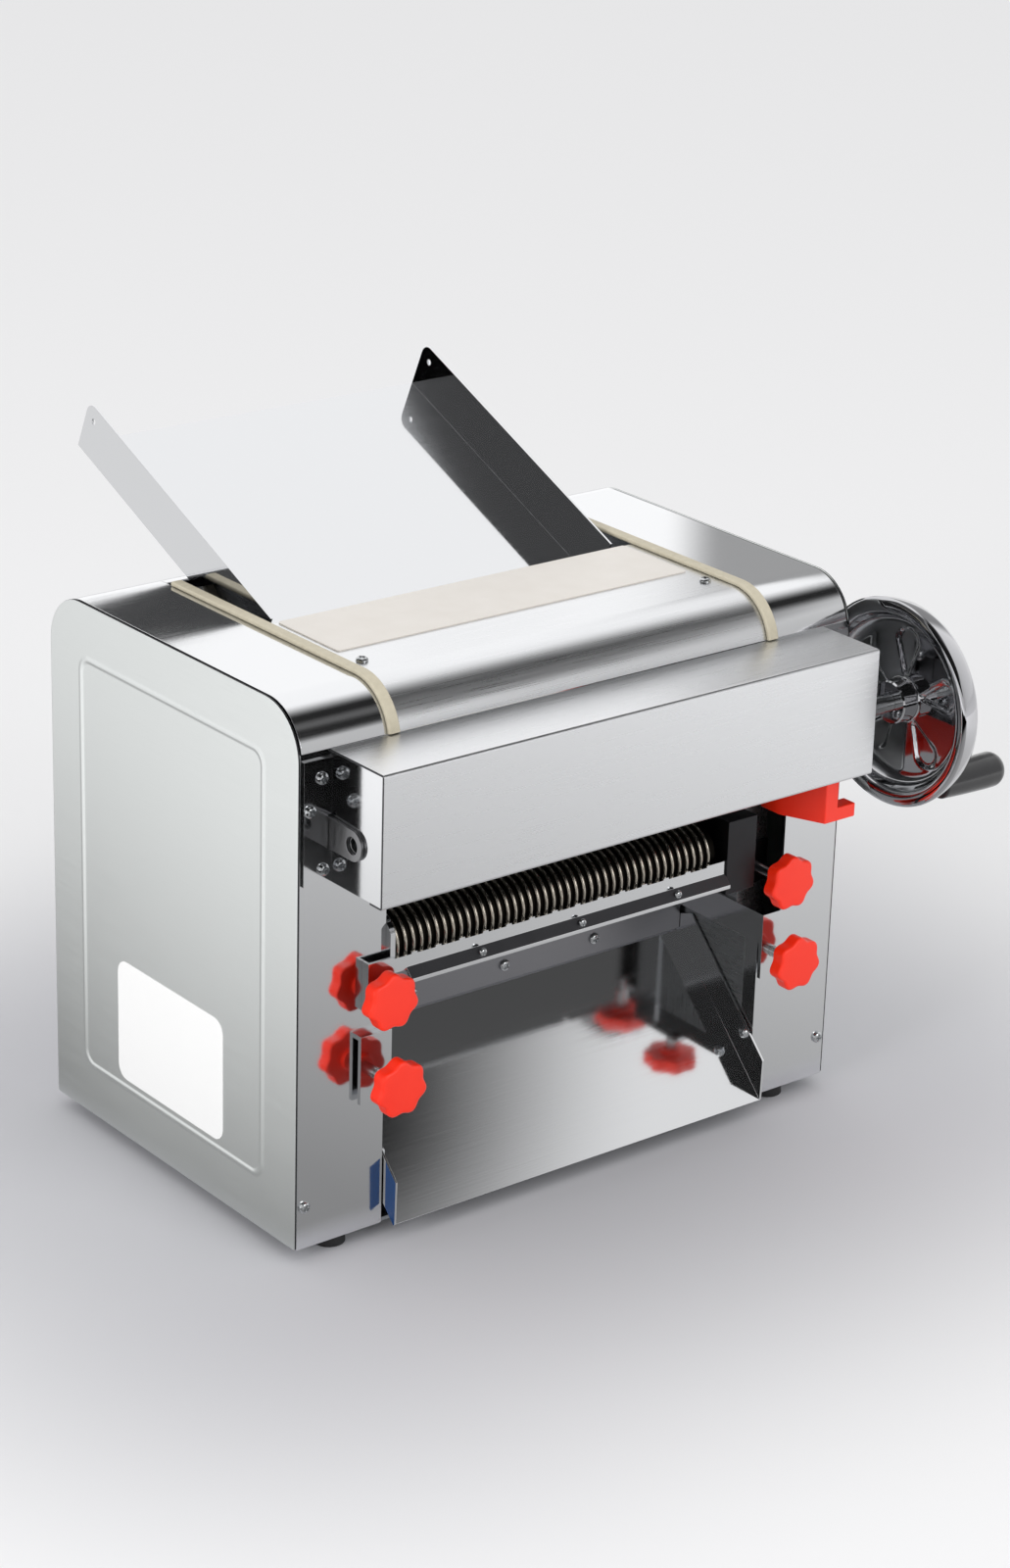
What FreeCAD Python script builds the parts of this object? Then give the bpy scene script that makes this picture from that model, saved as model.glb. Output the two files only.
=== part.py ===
import FreeCAD, Part
import math
import os

# Electric dough sheeter with a cutter unit, for a bench top.
# X runs to the right, Y to the back and Z up. The origin is on the bench, under the middle of the body.

# Body
body_width = 360.0
body_depth = 224.0
body_height = 290.0
foot_height = 8.0
housing_width = 54.0
sheet = 1.2
frame_plate = 4.0
base_plate = 2.0
corner_radius = 28.0
panel_drop = 22.4
panel_return = 10.0
screw_head_diameter = 6.4
screw_head_height = 2.2
screw_shank_diameter = 3.4

# Press rollers
roller_diameter = 48.0
roller_side_gap = 6.0
closest_gap = 0.5
gap_travel = 3.0
roller_drop = 62.0
nip_setback = 93.0
journal_diameter = 14.0

# Gap adjuster and hand wheel
adjuster_forward = 20.5
adjuster_drop = 3.7
adjuster_diameter = 10.0
wheel_diameter = 115.4
wheel_rim_width = 14.7
wheel_gap = 11.9
box_inset = 19.0
box_depth = 43.2
box_height = 70.0
box_drop = 26.9

# Feed chute. Its sheet starts over the gap between the press rollers.
chute_side_gap = 13.0
chute_drop = 26.5
chute_length = 185.8
chute_slope = 23.5
chute_flange = 28.5

# Outfeed tray, given by its front edge and the place of its fold
tray_front = 10.6
tray_height = 2.9
tray_run = 81.3
tray_top_gap = 2.3
tray_flange = 17.5

# Cutter unit
cutter_diameter = 32.8
cutter_pitch = 5.0
cutter_ridge = 2.2
groove_depth = 2.0
cutter_center_distance = 32.0
cutter_tilt = -3.0
cutter_depth = 13.5
cutter_drop = 44.9
cutter_room = 40.0

# Drive
roller_module = 2.0
roller_teeth = 24
big_teeth = 38
pinion_teeth = 18
gear_width = 12.0
cutter_module = 1.6
cutter_teeth = 20
sprocket_module = 1.0
sprocket_teeth = 20
counter_angle = -78.0
shaft_diameter = 14.0
big_pulley_diameter = 80.0
small_pulley_diameter = 30.0
belt_height = 5.7
belt_width = 8.0
motor_diameter = 104.0
motor_side_room = 122.0
motor_setback = 58.0
motor_height = 68.0

# Knobs and lever
knob_diameter = 30.8
knob_thickness = 8.4
knob_inset = 7.2
upper_knob_drop = 20.3
knob_pitch = 44.3
upper_knob_face = 18.6
lower_knob_face = 26.9
stud_diameter = 6.0

# Clearances
running = 0.05
sliding = 0.1
clear = 0.3
backlash = 0.25
overrun = 10.0
pressure_angle = 20.0

# Planes and small sizes that many pieces share
hole_radius = screw_shank_diameter / 2 + sliding
left = -body_width / 2
front = -body_depth / 2
back = body_depth / 2
base = foot_height
top = base + body_height
inner = left + housing_width
frame_face = inner - frame_plate
floor = base + base_plate
panel_top = top - panel_drop
nip_y = back - nip_setback
motor_y = back - motor_setback
roller_z = top - roller_drop
adjuster_z = roller_z - adjuster_drop
box_z0 = adjuster_z - box_drop
box_z1 = box_z0 + box_height
cutter_z = box_z0 - cutter_drop
upper_knob_z = cutter_z - upper_knob_drop
lower_knob_z = upper_knob_z - knob_pitch
knob_spread = knob_inset - inner
roller_length = -2 * (inner + roller_side_gap)
chute_width = -2 * (inner + chute_side_gap)
cutter_length = -2 * inner - cutter_room
motor_length = -2 * inner - motor_side_room
tray_front_y = front - tray_front
tray_front_z = base + tray_height
tray_rise = lower_knob_z - tray_top_gap - tray_front_z
tray_slope = math.atan2(tray_rise, tray_run)
tray_lift = tray_flange / math.cos(tray_slope)

nodes = {}


def keep(name, *shapes):
    """Store one sub-part, as a single solid or as a group of separate solids."""
    nodes[name] = shapes[0] if len(shapes) == 1 else Part.makeCompound(list(shapes))


def vec(x, y, z):
    return FreeCAD.Vector(x, y, z)


def box(x0, x1, y0, y1, z0, z1):
    return Part.makeBox(x1 - x0, y1 - y0, z1 - z0, vec(x0, y0, z0))


def rod_x(radius, x0, x1, y, z):
    return Part.makeCylinder(radius, x1 - x0, vec(x0, y, z), vec(1, 0, 0))


def rod_y(radius, x, y0, y1, z):
    return Part.makeCylinder(radius, y1 - y0, vec(x, y0, z), vec(0, 1, 0))


def rod_z(radius, x, y, z0, z1):
    return Part.makeCylinder(radius, z1 - z0, vec(x, y, z0))


def mirrored(shape):
    """The same piece on the other side of the machine's middle plane."""
    return shape.mirror(vec(0, 0, 0), vec(1, 0, 0))


def joined(first, *others):
    return first.fuse(list(others)).removeSplitter()


def slab(points, x0, x1):
    """Extrude a closed outline of Y, Z points from x0 to x1."""
    corners = [vec(x0, y, z) for y, z in points]
    face = Part.Face(Part.makePolygon(corners + corners[:1]))
    return face.extrude(vec(x1 - x0, 0, 0))


def side_slab(x0, x1, inset):
    """The body's side outline, square below and rounded above, moved inwards by inset."""
    y0 = front + inset
    y1 = back - inset
    z0 = base + inset
    z1 = top - inset
    radius = corner_radius - inset
    bulge = radius * math.cos(math.pi / 4)
    knots = [vec(x0, y0, z0), vec(x0, y0, z1 - radius), vec(x0, y0 + radius, z1),
             vec(x0, y1 - radius, z1), vec(x0, y1, z1 - radius), vec(x0, y1, z0)]
    front_arc = Part.Arc(knots[1], vec(x0, y0 + radius - bulge, z1 - radius + bulge), knots[2])
    back_arc = Part.Arc(knots[3], vec(x0, y1 - radius + bulge, z1 - radius + bulge), knots[4])
    edges = [Part.makeLine(knots[0], knots[1]), front_arc.toShape(), Part.makeLine(knots[2], knots[3]),
             back_arc.toShape(), Part.makeLine(knots[4], knots[5]), Part.makeLine(knots[5], knots[0])]
    return Part.Face(Part.Wire(edges)).extrude(vec(x1 - x0, 0, 0))


def side_shell(x0, x1, outer_inset, inner_inset):
    """A bent sheet that follows the side outline and is open below."""
    shell = side_slab(x0, x1, outer_inset).cut(side_slab(x0 - overrun, x1 + overrun, inner_inset))
    sole = box(x0 - overrun, x1 + overrun, front + inner_inset, back - inner_inset, base - overrun, floor)
    return shell.cut(sole)


def rounded_slab(x0, x1, y0, y1, z0, z1, radius):
    """A plate across X with four round corners."""
    plate = box(x0, x1, y0, y1, z0, z1)
    corners = [edge for edge in plate.Edges if edge.Vertexes[0].X != edge.Vertexes[1].X]
    return plate.makeFillet(radius, corners)


def loop_slab(x0, x1, start, start_radius, end, end_radius):
    """The tight outline round two circles, each given by its Y, Z centre, extruded along X."""
    dy = end[0] - start[0]
    dz = end[1] - start[1]
    distance = math.hypot(dy, dz)
    heading = math.atan2(dz, dy)
    lean = math.acos((start_radius - end_radius) / distance)

    def on(center, radius, angle):
        return vec(x0, center[0] + radius * math.cos(angle), center[1] + radius * math.sin(angle))

    a = on(start, start_radius, heading + lean)
    b = on(start, start_radius, heading + math.pi)
    c = on(start, start_radius, heading - lean)
    d = on(end, end_radius, heading - lean)
    e = on(end, end_radius, heading)
    f = on(end, end_radius, heading + lean)
    edges = [Part.Arc(a, b, c).toShape(), Part.makeLine(c, d),
             Part.Arc(d, e, f).toShape(), Part.makeLine(f, a)]
    return Part.Face(Part.Wire(edges)).extrude(vec(x1 - x0, 0, 0))


def involute(angle):
    return math.tan(angle) - angle


def gear(teeth, module, x0, x1, center, tooth_angle, bore):
    """A spur gear along X with involute flanks and a tooth that points along tooth_angle."""
    pitch_radius = teeth * module / 2
    base_radius = pitch_radius * math.cos(math.radians(pressure_angle))
    tip_radius = pitch_radius + module
    root_radius = pitch_radius - module - module / 4
    half_pitch = math.pi / teeth / 2 - backlash / 2 / pitch_radius
    flank_steps = 4
    start_radius = max(base_radius, root_radius)
    flank = []
    for step in range(flank_steps + 1):
        radius = start_radius + (tip_radius - start_radius) * step / flank_steps
        roll = math.acos(min(1, base_radius / radius))
        flank.append((radius, half_pitch + involute(math.radians(pressure_angle)) - involute(roll)))
    if root_radius < start_radius:
        flank.insert(0, (root_radius, flank[0][1]))
    points = []
    for tooth in range(teeth):
        middle = math.radians(tooth_angle) + tooth * math.tau / teeth
        side = [(radius, middle - half) for radius, half in flank]
        side += [(radius, middle + half) for radius, half in reversed(flank)]
        points += [(center[0] + r * math.cos(a), center[1] + r * math.sin(a)) for r, a in side]
    return slab(points, x0, x1).cut(rod_x(bore / 2 + running, x0 - overrun, x1 + overrun, *center))


def turned(profile, x0, center):
    """Turn a closed outline of distance along X and radius round the axis through center."""
    corners = [vec(x0 + along, center[0], center[1] + radius) for along, radius in profile]
    face = Part.Face(Part.makePolygon(corners + corners[:1]))
    return face.revolve(vec(x0, *center), vec(1, 0, 0), 360)


def screw_y(x, y, z, depth, direction):
    """A pan head screw along Y. Its head lies on the face at y and the shank runs along direction."""
    head_y = (y - screw_head_height, y) if direction > 0 else (y, y + screw_head_height)
    shank_y = (y, y + depth) if direction > 0 else (y - depth, y)
    head = rod_y(screw_head_diameter / 2, x, *head_y, z)
    outer_y = y - direction * screw_head_height
    rim = [edge for edge in head.Edges if abs(edge.CenterOfMass.y - outer_y) < screw_head_height / 4]
    head = head.makeFillet(screw_head_height / 2, rim)
    return joined(head, rod_y(screw_shank_diameter / 2, x, *shank_y, z))


def screw_z(x, y, z, depth):
    head = rod_z(screw_head_diameter / 2, x, y, z, z + screw_head_height)
    return joined(head, rod_z(screw_shank_diameter / 2, x, y, z - depth, z))


# Axes that run along X, as Y and Z of their centres
roller_offset = (roller_diameter + closest_gap) / 2
rear_axis = (nip_y + roller_offset, roller_z)
front_axis = (nip_y - roller_offset, roller_z)
adjuster_axis = (front - adjuster_forward, adjuster_z)
counter_distance = (big_teeth + pinion_teeth) * roller_module / 2
counter_axis = (rear_axis[0] + counter_distance * math.cos(math.radians(counter_angle)),
                rear_axis[1] + counter_distance * math.sin(math.radians(counter_angle)))
motor_axis = (motor_y, base + motor_height)
cutter_front_axis = (front + cutter_depth, cutter_z)
cutter_rear_axis = (cutter_front_axis[0] + cutter_center_distance * math.cos(math.radians(cutter_tilt)),
                    cutter_front_axis[1] + cutter_center_distance * math.sin(math.radians(cutter_tilt)))

# Stations along X inside the housings, counted from the outer face
arm_thickness = 1.8
bracket_web = 1.5
box_end = left + box_inset
arm_x1 = box_end - 2 * sliding
arm_x0 = arm_x1 - arm_thickness
arm_height = 16.0
journal_end = arm_x0 - arm_thickness
pulley_start = left + 8.0
pulley_width = 14.0
gear_gap = 8.0
gear_x1 = frame_face - gear_gap
gear_x0 = gear_x1 - gear_width
roller_gear_gap = 4.0
roller_gear_x0 = -frame_face + roller_gear_gap
roller_gear_x1 = roller_gear_x0 + gear_width
sprocket_gap = 6.0
sprocket_width = 4.0
sprocket_x0 = roller_gear_x1 + sprocket_gap
sprocket_x1 = sprocket_x0 + sprocket_width

# Base and feet
foot_diameter = 17.0
foot_inset_x = 30.0
foot_inset_y = 12.0
base_sheet = box(left + sheet, -left - sheet, front + sheet, back - sheet, base, floor)
feet = [rod_z(foot_diameter / 2, side * (-left - foot_inset_x), end * (back - foot_inset_y), 0, base)
        for side in (-1, 1) for end in (-1, 1)]
keep("base_plate", base_sheet)
keep("rubber_feet", *feet)

# Screws of the front panels, as X from the left face and Z from the front box or the base
bracket_screw_places = [(12.9, 56.6), (5.9, 40.6), (14.1, 8.8)]
low_screw_place = (5.4, 23.4)
rear_screw_inset = 6.0
rear_screw_rise = 23.0
rear_screw_drop = 51.0
screw_depth = 8.0
front_screw_points = [(left + x, box_z0 + z) for x, z in bracket_screw_places]
front_screw_points.append((left + low_screw_place[0], base + low_screw_place[1]))
front_holes = [rod_y(hole_radius, x, front - overrun, front + overrun, z) for x, z in front_screw_points]
rear_screw_points = [(side * x, z) for z in (base + rear_screw_rise, top - rear_screw_drop)
                     for side in (-1, 1) for x in (-left - rear_screw_inset, -inner - rear_screw_inset)]
rear_holes = [rod_y(hole_radius, x, back - overrun, back + overrun, z) for x, z in rear_screw_points]
screws = [screw_y(x, back, z, screw_depth, -1) for x, z in rear_screw_points]

# Side covers, each with a pressed bead round its flat field and two flanges that the screws bite into
bead_inset = 28.0
bead_width = 3.0
bead_height = 0.6
bead_radius = 9.0
cover_flange = 15.0


def side_cover():
    plate = side_slab(left, left + sheet, 0)
    ring = rounded_slab(left - bead_height, left, front + bead_inset, back - bead_inset,
                        base + bead_inset, top - bead_inset, bead_radius)
    field_inset = bead_inset + bead_width
    field = rounded_slab(left - overrun, left + sheet, front + field_inset, back - field_inset,
                         base + field_inset, top - field_inset, bead_radius - bead_width)
    flanges = [box(left + sheet, left + cover_flange, y, y + sheet, floor, top - corner_radius)
               for y in (front + sheet, back - 2 * sheet)]
    return joined(plate, ring.cut(field), *flanges).cut(front_holes + rear_holes)


keep("left_side_cover", side_cover())
keep("right_side_cover", mirrored(side_cover()))

# Bare label on the left side cover
label_front_share = 0.2857
label_width_share = 0.4375
label_bottom = 34.0
label_height = 68.5
label_radius = 8.0
label_thickness = 0.3
label_y = front + label_front_share * body_depth
label_width = label_width_share * body_depth
label_z = base + label_bottom
keep("side_label", rounded_slab(left - label_thickness, left, label_y, label_y + label_width,
                                label_z, label_z + label_height, label_radius))


def housing_wrap():
    """The bent cover of a housing: up the back, over the top and down the front to the panel."""
    shell = side_shell(left + sheet, inner, 0, sheet)
    mouth = box(left, inner + overrun, front - overrun, front + corner_radius, base - overrun, panel_top)
    return shell.cut(mouth).cut(rear_holes)


keep("left_top_cover", housing_wrap())
keep("right_top_cover", mirrored(housing_wrap()))

# Front panels, with a slot each for the adjusting arm
arm_slot_room = 2.0
arm_slot = box(arm_x0 - clear, arm_x1 + clear, front - overrun, front + overrun,
               adjuster_axis[1] - arm_height / 2 - clear, adjuster_axis[1] + arm_height / 2 + arm_slot_room)
bracket_flange_gap = 1.6
bracket_flange_drop = 3.4
bracket_z0 = box_z0 + bracket_flange_gap
bracket_z1 = box_z1 - bracket_flange_drop


def on_bracket(z):
    return bracket_z0 < z < bracket_z1


def front_screw_set():
    """Screws whose heads lie on the bracket flange, or on the panel where there is none."""
    return [screw_y(x, front - (bracket_web if on_bracket(z) else 0), z, screw_depth, 1)
            for x, z in front_screw_points]


screws += front_screw_set()
screws += [mirrored(screw) for screw in front_screw_set()]

tray_screw_depth = 5.0
tray_screw_share = 0.77
tray_screw_run = tray_screw_depth + tray_front
tray_screw_z = tray_front_z + tray_screw_run * math.tan(tray_slope) + tray_screw_share * tray_lift
tray_side = -inner - 2 * clear
tray_screw_hole = rod_x(hole_radius, inner - 2 * overrun, inner + 2 * overrun,
                        front + tray_screw_depth, tray_screw_z)


def front_panel():
    face = box(left + sheet, inner, front, front + sheet, base, panel_top)
    lip = box(inner - sheet, inner, front, front + panel_return, floor, panel_top)
    return joined(face, lip).cut(front_holes + [arm_slot, tray_screw_hole])


keep("left_front_panel", front_panel())

# Right front panel: a notch gives room for the lever, and the sheet bends back below it as a shelf
notch_width = 15.5
notch_knob_room = 23.2
notch_box_gap = 1.4
notch_z0 = upper_knob_z - notch_knob_room
notch_z1 = box_z0 - notch_box_gap
recess_depth = 18.8
recess_plate = 2.0
notch = box(-inner - overrun, -inner + notch_width, front - overrun, front + recess_depth,
            notch_z0, notch_z1)
shelf = box(-inner, -inner + notch_width, front, front + recess_depth,
            notch_z0 - sheet, notch_z0)
right_panel = joined(mirrored(front_panel()).cut(notch), shelf)
keep("right_front_panel", right_panel)

# The recess plate closes the notch at the back, joins the frame plate and carries the upper right stud
recess_x1 = -inner + notch_width + 2 * recess_plate
recess_wall = box(-inner, recess_x1, front + recess_depth, front + recess_depth + recess_plate,
                  notch_z0 - sheet, notch_z1)
recess_wall = recess_wall.cut(rod_y(stud_diameter / 2 + sliding, knob_spread, front, front + 2 * recess_depth,
                                    upper_knob_z))

# Frame plates carry the rollers, the countershaft and the cutter drive. Each has a folded rear flange.
block_size = 28.0
bearing_diameter = 26.0
bearing_flange = 34.0
counter_bearing_diameter = 26.0
cutter_bearing_diameter = 20.0
frame_inset = sheet + 2 * sliding
block_window = box(left, -left, front_axis[0] - block_size / 2 - gap_travel - clear,
                   front_axis[0] + block_size / 2 + clear,
                   front_axis[1] - block_size / 2 - sliding, front_axis[1] + block_size / 2 + sliding)
motor_hole_diameter = 40.0
rear_flange = 12.0
rear_flange_thickness = 2.0


def frame_side():
    plate = side_slab(frame_face, inner, frame_inset)
    flange = box(frame_face, inner + rear_flange, back - sheet - rear_flange_thickness, back - sheet,
                 floor, top - corner_radius)
    nose = box(left, -left, front, front + panel_return, base, top)
    feet_cut = box(left, -left, front, back, base, floor)
    bearing = rod_x(bearing_diameter / 2 + running, left, 0, *rear_axis)
    return joined(plate.cut([nose, feet_cut, block_window, bearing]), flange).cut(rear_holes)


counter_hole = rod_x(counter_bearing_diameter / 2 + running, left, 0, *counter_axis)
motor_hole = rod_x(motor_hole_diameter / 2, left, 0, *motor_axis)
keep("left_frame_plate", frame_side().cut([counter_hole, motor_hole]))
cutter_bearing_hole = rod_x(cutter_bearing_diameter / 2 + running, 0, -left, *cutter_rear_axis)
recess_cut = box(-inner - overrun, -inner + overrun, front, front + recess_depth + recess_plate,
                 notch_z0 - sheet, notch_z1)
keep("right_frame_plate", joined(mirrored(frame_side()).cut([cutter_bearing_hole, recess_cut]), recess_wall))

# Rear panel between the housings, with air slots, a switch opening and a cable hole
switch_inset = 38.0
switch_drop = 140.0
switch_x = -inner - switch_inset
switch_z = top - switch_drop
switch_width = 28.0
switch_height = 21.0
gland_rise = 60.0
gland_x = switch_x
gland_z = base + gland_rise
gland_diameter = 16.0
vent_count = 6
vent_length = 60.0
vent_height = 3.0
vent_pitch = 9.0
vent_x = -20.0
vent_rise = 50.0
vent_z = base + vent_rise


def rear_panel():
    shell = side_shell(inner, -inner, 0, sheet)
    keep_zone = box(left, -left, back - corner_radius, back + overrun, base, top + overrun)
    vent_rows = [vent_z + row * vent_pitch for row in range(vent_count)]
    vents = [box(vent_x - vent_length / 2, vent_x + vent_length / 2, back - overrun, back + overrun,
                 z, z + vent_height) for z in vent_rows]
    window = box(switch_x - switch_width / 2 - sliding, switch_x + switch_width / 2 + sliding,
                 back - overrun, back + overrun,
                 switch_z - switch_height / 2 - sliding, switch_z + switch_height / 2 + sliding)
    gland_hole = rod_y(gland_diameter / 2 + sliding, gland_x, back - overrun, back + overrun, gland_z)
    return shell.common(keep_zone).cut(vents + rear_holes + [window, gland_hole])


keep("rear_panel", rear_panel())

# Curved central cover in front of the feed opening
cover_rear_gap = 17.0
cover_drop = 10.0
top_screw_inset = 13.8
top_screw_gap = 14.0
cover_rear = nip_y - cover_rear_gap
top_screw_y = front + corner_radius + top_screw_gap
top_screw_points = [(side * (inner + top_screw_inset), top_screw_y) for side in (-1, 1)]


def central_cover():
    shell = side_shell(inner, -inner, 0, sheet)
    zone = box(left, -left, front - overrun, cover_rear, panel_top, top + overrun)
    drop = box(inner, -inner, cover_rear - sheet, cover_rear,
               top - cover_drop, top)
    holes = [rod_z(hole_radius, x, y, top - overrun, top + overrun) for x, y in top_screw_points]
    return joined(shell.common(zone), drop).cut(holes)


keep("central_top_cover", central_cover())
screws += [screw_z(x, y, top, screw_depth) for x, y in top_screw_points]

# Cream plate on the flat top
plate_side_gap = 11.5
plate_front_gap = 31.0
plate_rear_gap = 2.2
plate_thickness = 0.8
keep("top_plate", box(inner + plate_side_gap, -inner - plate_side_gap,
                      front + corner_radius + plate_front_gap, cover_rear - plate_rear_gap,
                      top, top + plate_thickness))

# Cream edge strips over the joints between the covers
strip_width = 7.0
strip_overlap = 1.2
strip_thickness = 2.5
strip_rear_gap = 34.0


def edge_strip():
    x0 = inner - strip_overlap
    shell = side_slab(x0, x0 + strip_width, -strip_thickness).cut(side_slab(left, -left, 0))
    zone = box(left, -left, front - overrun, back - strip_rear_gap, panel_top, top + overrun)
    return shell.common(zone)


keep("edge_strips", edge_strip(), mirrored(edge_strip()))

# Feed chute, drawn flat with its low end at the origin and then tilted
chute_corner = 6.0
chute_hole_diameter = 3.4
chute_hole_inset = 8.0
bracket_length = 40.0
bracket_start = 22.0
bracket_leaf = 12.0


def tilted_chute(shape):
    shape = shape.copy()
    shape.rotate(vec(0, 0, 0), vec(1, 0, 0), chute_slope)
    shape.translate(vec(0, nip_y, top - chute_drop))
    return shape


def feed_chute():
    half = chute_width / 2
    sheet_part = box(-half, half, 0, chute_length, -sheet, 0)
    flange = box(-half, -half + sheet, 0, chute_length, 0, chute_flange)
    corner = [edge for edge in flange.Edges if min(v.Y for v in edge.Vertexes) > chute_length - sheet
              and min(v.Z for v in edge.Vertexes) > chute_flange - sheet]
    flange = flange.makeFillet(chute_corner, corner)
    flange = flange.cut(rod_x(chute_hole_diameter / 2, -half - overrun, -half + overrun,
                              chute_length - chute_hole_inset, chute_flange - chute_hole_inset))
    return joined(sheet_part, flange, mirrored(flange))


def chute_bracket():
    """A welded angle that reaches from the chute's underside to the frame plate."""
    ledge_end = -chute_width / 2 + bracket_leaf
    ledge = box(inner, ledge_end, bracket_start, bracket_start + bracket_length, -sheet - bracket_web, -sheet)
    leaf = box(inner, inner + bracket_web, bracket_start, bracket_start + bracket_length,
               -sheet - bracket_leaf, -sheet)
    return joined(ledge, leaf)


keep("feed_chute", tilted_chute(joined(feed_chute(), chute_bracket(), mirrored(chute_bracket()))))

# Front box: cover sheet over two end brackets
box_front = front - box_depth
box_lip = 10.0


def box_cover():
    outer = box(box_end, -box_end, box_front, front, box_z0, box_z1)
    cavity = box(box_end - overrun, -box_end + overrun, box_front + sheet, front + overrun,
                 box_z0 + sheet, box_z1 - sheet)
    mouth = box(box_end - overrun, -box_end + overrun, box_front + box_lip, front + overrun,
                box_z0 - overrun, box_z1 - sheet)
    return outer.cut([cavity, mouth])


keep("front_box_cover", box_cover())

# Adjuster: two spiral cams on the shaft push pins on the arms. The radius grows steadily with the angle,
# so half a turn of the wheel moves the front roller by the whole travel.
cam_radius = 12.0
cam_thickness = 5.0
pin_diameter = 6.0
cam_steps = 36
cam_x0 = box_end + bracket_web + 2 * sliding
cam_x1 = cam_x0 + cam_thickness
pin_y = adjuster_axis[0] + cam_radius + clear + pin_diameter / 2
pin_z = adjuster_axis[1]
arm_eye_radius = arm_height / 2
rear_eye_radius = 11.0


def end_bracket():
    web = box(box_end, box_end + bracket_web, box_front + sheet, front, box_z0 + sheet, box_z1 - sheet)
    flange = box(left + 2 * sheet, box_end, front - bracket_web, front,
                 bracket_z0, bracket_z1)
    bore = rod_x(adjuster_diameter / 2 + running, left, 0, *adjuster_axis)
    pin_room = pin_diameter / 2 + clear
    pin_slot = loop_slab(left, 0, (pin_y - gap_travel, pin_z), pin_room, (pin_y, pin_z), pin_room)
    return joined(web, flange).cut(front_holes + [bore, pin_slot, arm_slot])


keep("box_end_brackets", end_bracket(), mirrored(end_bracket()))


def cam():
    """Full radius towards the pin, falling steadily over the half turn that the wheel makes."""
    points = []
    for step in range(2 * cam_steps):
        angle = -math.pi + step * math.pi / cam_steps
        fall = gap_travel * (-angle if angle < 0 else max(0, 2 * angle - math.pi)) / math.pi
        radius = cam_radius - fall
        points.append((adjuster_axis[0] + radius * math.cos(angle),
                       adjuster_axis[1] + radius * math.sin(angle)))
    return slab(points, cam_x0, cam_x1)


wheel_x0 = -left + wheel_gap
wheel_x1 = wheel_x0 + wheel_rim_width
hub_diameter = 24.0
hub_length = 14.0
web_thickness = 3.0
rim_height = 9.0
rim_taper = 3.8
petal_count = 5
petal_radius = 9.0
petal_inset = 8.0
hub_screw_diameter = 16.0
hub_screw_height = 4.0
shaft_x0 = box_end + sliding
shaft_socket_diameter = 7.2
shaft_socket_depth = 12.0
adjusting_rod = rod_x(adjuster_diameter / 2, shaft_x0, wheel_x1, *adjuster_axis)
socket = rod_x(shaft_socket_diameter / 2, shaft_x0, shaft_x0 + shaft_socket_depth, *adjuster_axis)
keep("adjusting_shaft", joined(adjusting_rod, cam(), mirrored(cam())).cut(socket))


def hand_wheel():
    """A rolled rim, a dished web at the far side and a hub, all turned round the adjusting axis."""
    rim_radius = wheel_diameter / 2
    far_radius = rim_radius - rim_taper
    edge = rim_height / 4
    width = wheel_rim_width
    rim = [(0, rim_radius - edge), (edge / 2, rim_radius), (width - edge, far_radius + edge / 2),
           (width, far_radius - edge), (width, far_radius - rim_height),
           (width - web_thickness, far_radius - rim_height), (edge, rim_radius - rim_height),
           (0, rim_radius - rim_height + edge)]
    web = [(width - web_thickness, 0), (width, 0), (width, far_radius - rim_height / 2),
           (width - web_thickness, far_radius - rim_height / 2)]
    hub = [(width - hub_length, 0), (width, 0), (width, hub_diameter / 2),
           (width - hub_length, hub_diameter / 2)]
    wheel = joined(turned(rim, wheel_x0, adjuster_axis), turned(web, wheel_x0, adjuster_axis),
                   turned(hub, wheel_x0, adjuster_axis))
    petals = []
    near = hub_diameter / 2 + petal_inset / 2
    far = far_radius - rim_height - petal_radius - petal_inset / 2
    for number in range(petal_count):
        angle = math.pi / 2 + number * math.tau / petal_count
        start = (adjuster_axis[0] + near * math.cos(angle), adjuster_axis[1] + near * math.sin(angle))
        end = (adjuster_axis[0] + far * math.cos(angle), adjuster_axis[1] + far * math.sin(angle))
        petals.append(loop_slab(wheel_x1 - web_thickness - overrun, wheel_x1 - web_thickness / 2, start,
                                petal_radius / 3, end, petal_radius))
    bore = rod_x(adjuster_diameter / 2 + running, wheel_x0, wheel_x1 + overrun, *adjuster_axis)
    return wheel.cut(petals + [bore, grip_hole])


# Grip on a shouldered bolt near the rim
grip_diameter = 19.6
grip_length = 44.6
grip_radius_place = 49.2
grip_angle = -123.4
grip_bolt_diameter = 6.0
grip_axis = (adjuster_axis[0] + grip_radius_place * math.cos(math.radians(grip_angle)),
             adjuster_axis[1] + grip_radius_place * math.sin(math.radians(grip_angle)))
grip_hole = rod_x(grip_bolt_diameter / 2 + running, wheel_x0, wheel_x1 + overrun, *grip_axis)
grip_x0 = wheel_x1 + clear
grip_x1 = grip_x0 + grip_length
grip_head_diameter = 10.0
grip_head_height = 4.0
grip_dome = 7.0
keep("hand_wheel", hand_wheel())
hub_screw = turned([(0, 0), (hub_screw_height, 0), (hub_screw_height, hub_screw_diameter / 4),
                    (hub_screw_height / 2, hub_screw_diameter / 2), (0, hub_screw_diameter / 2)],
                   wheel_x1, adjuster_axis)
bolt_end = grip_x1 - grip_dome
grip_bolt = joined(rod_x(grip_bolt_diameter / 2, wheel_x1 - web_thickness, bolt_end, *grip_axis),
                   rod_x(grip_head_diameter / 2, bolt_end - grip_head_height, bolt_end, *grip_axis))
keep("wheel_bolts", hub_screw, grip_bolt)
grip_body = rod_x(grip_diameter / 2, grip_x0, grip_x1, *grip_axis)
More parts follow.
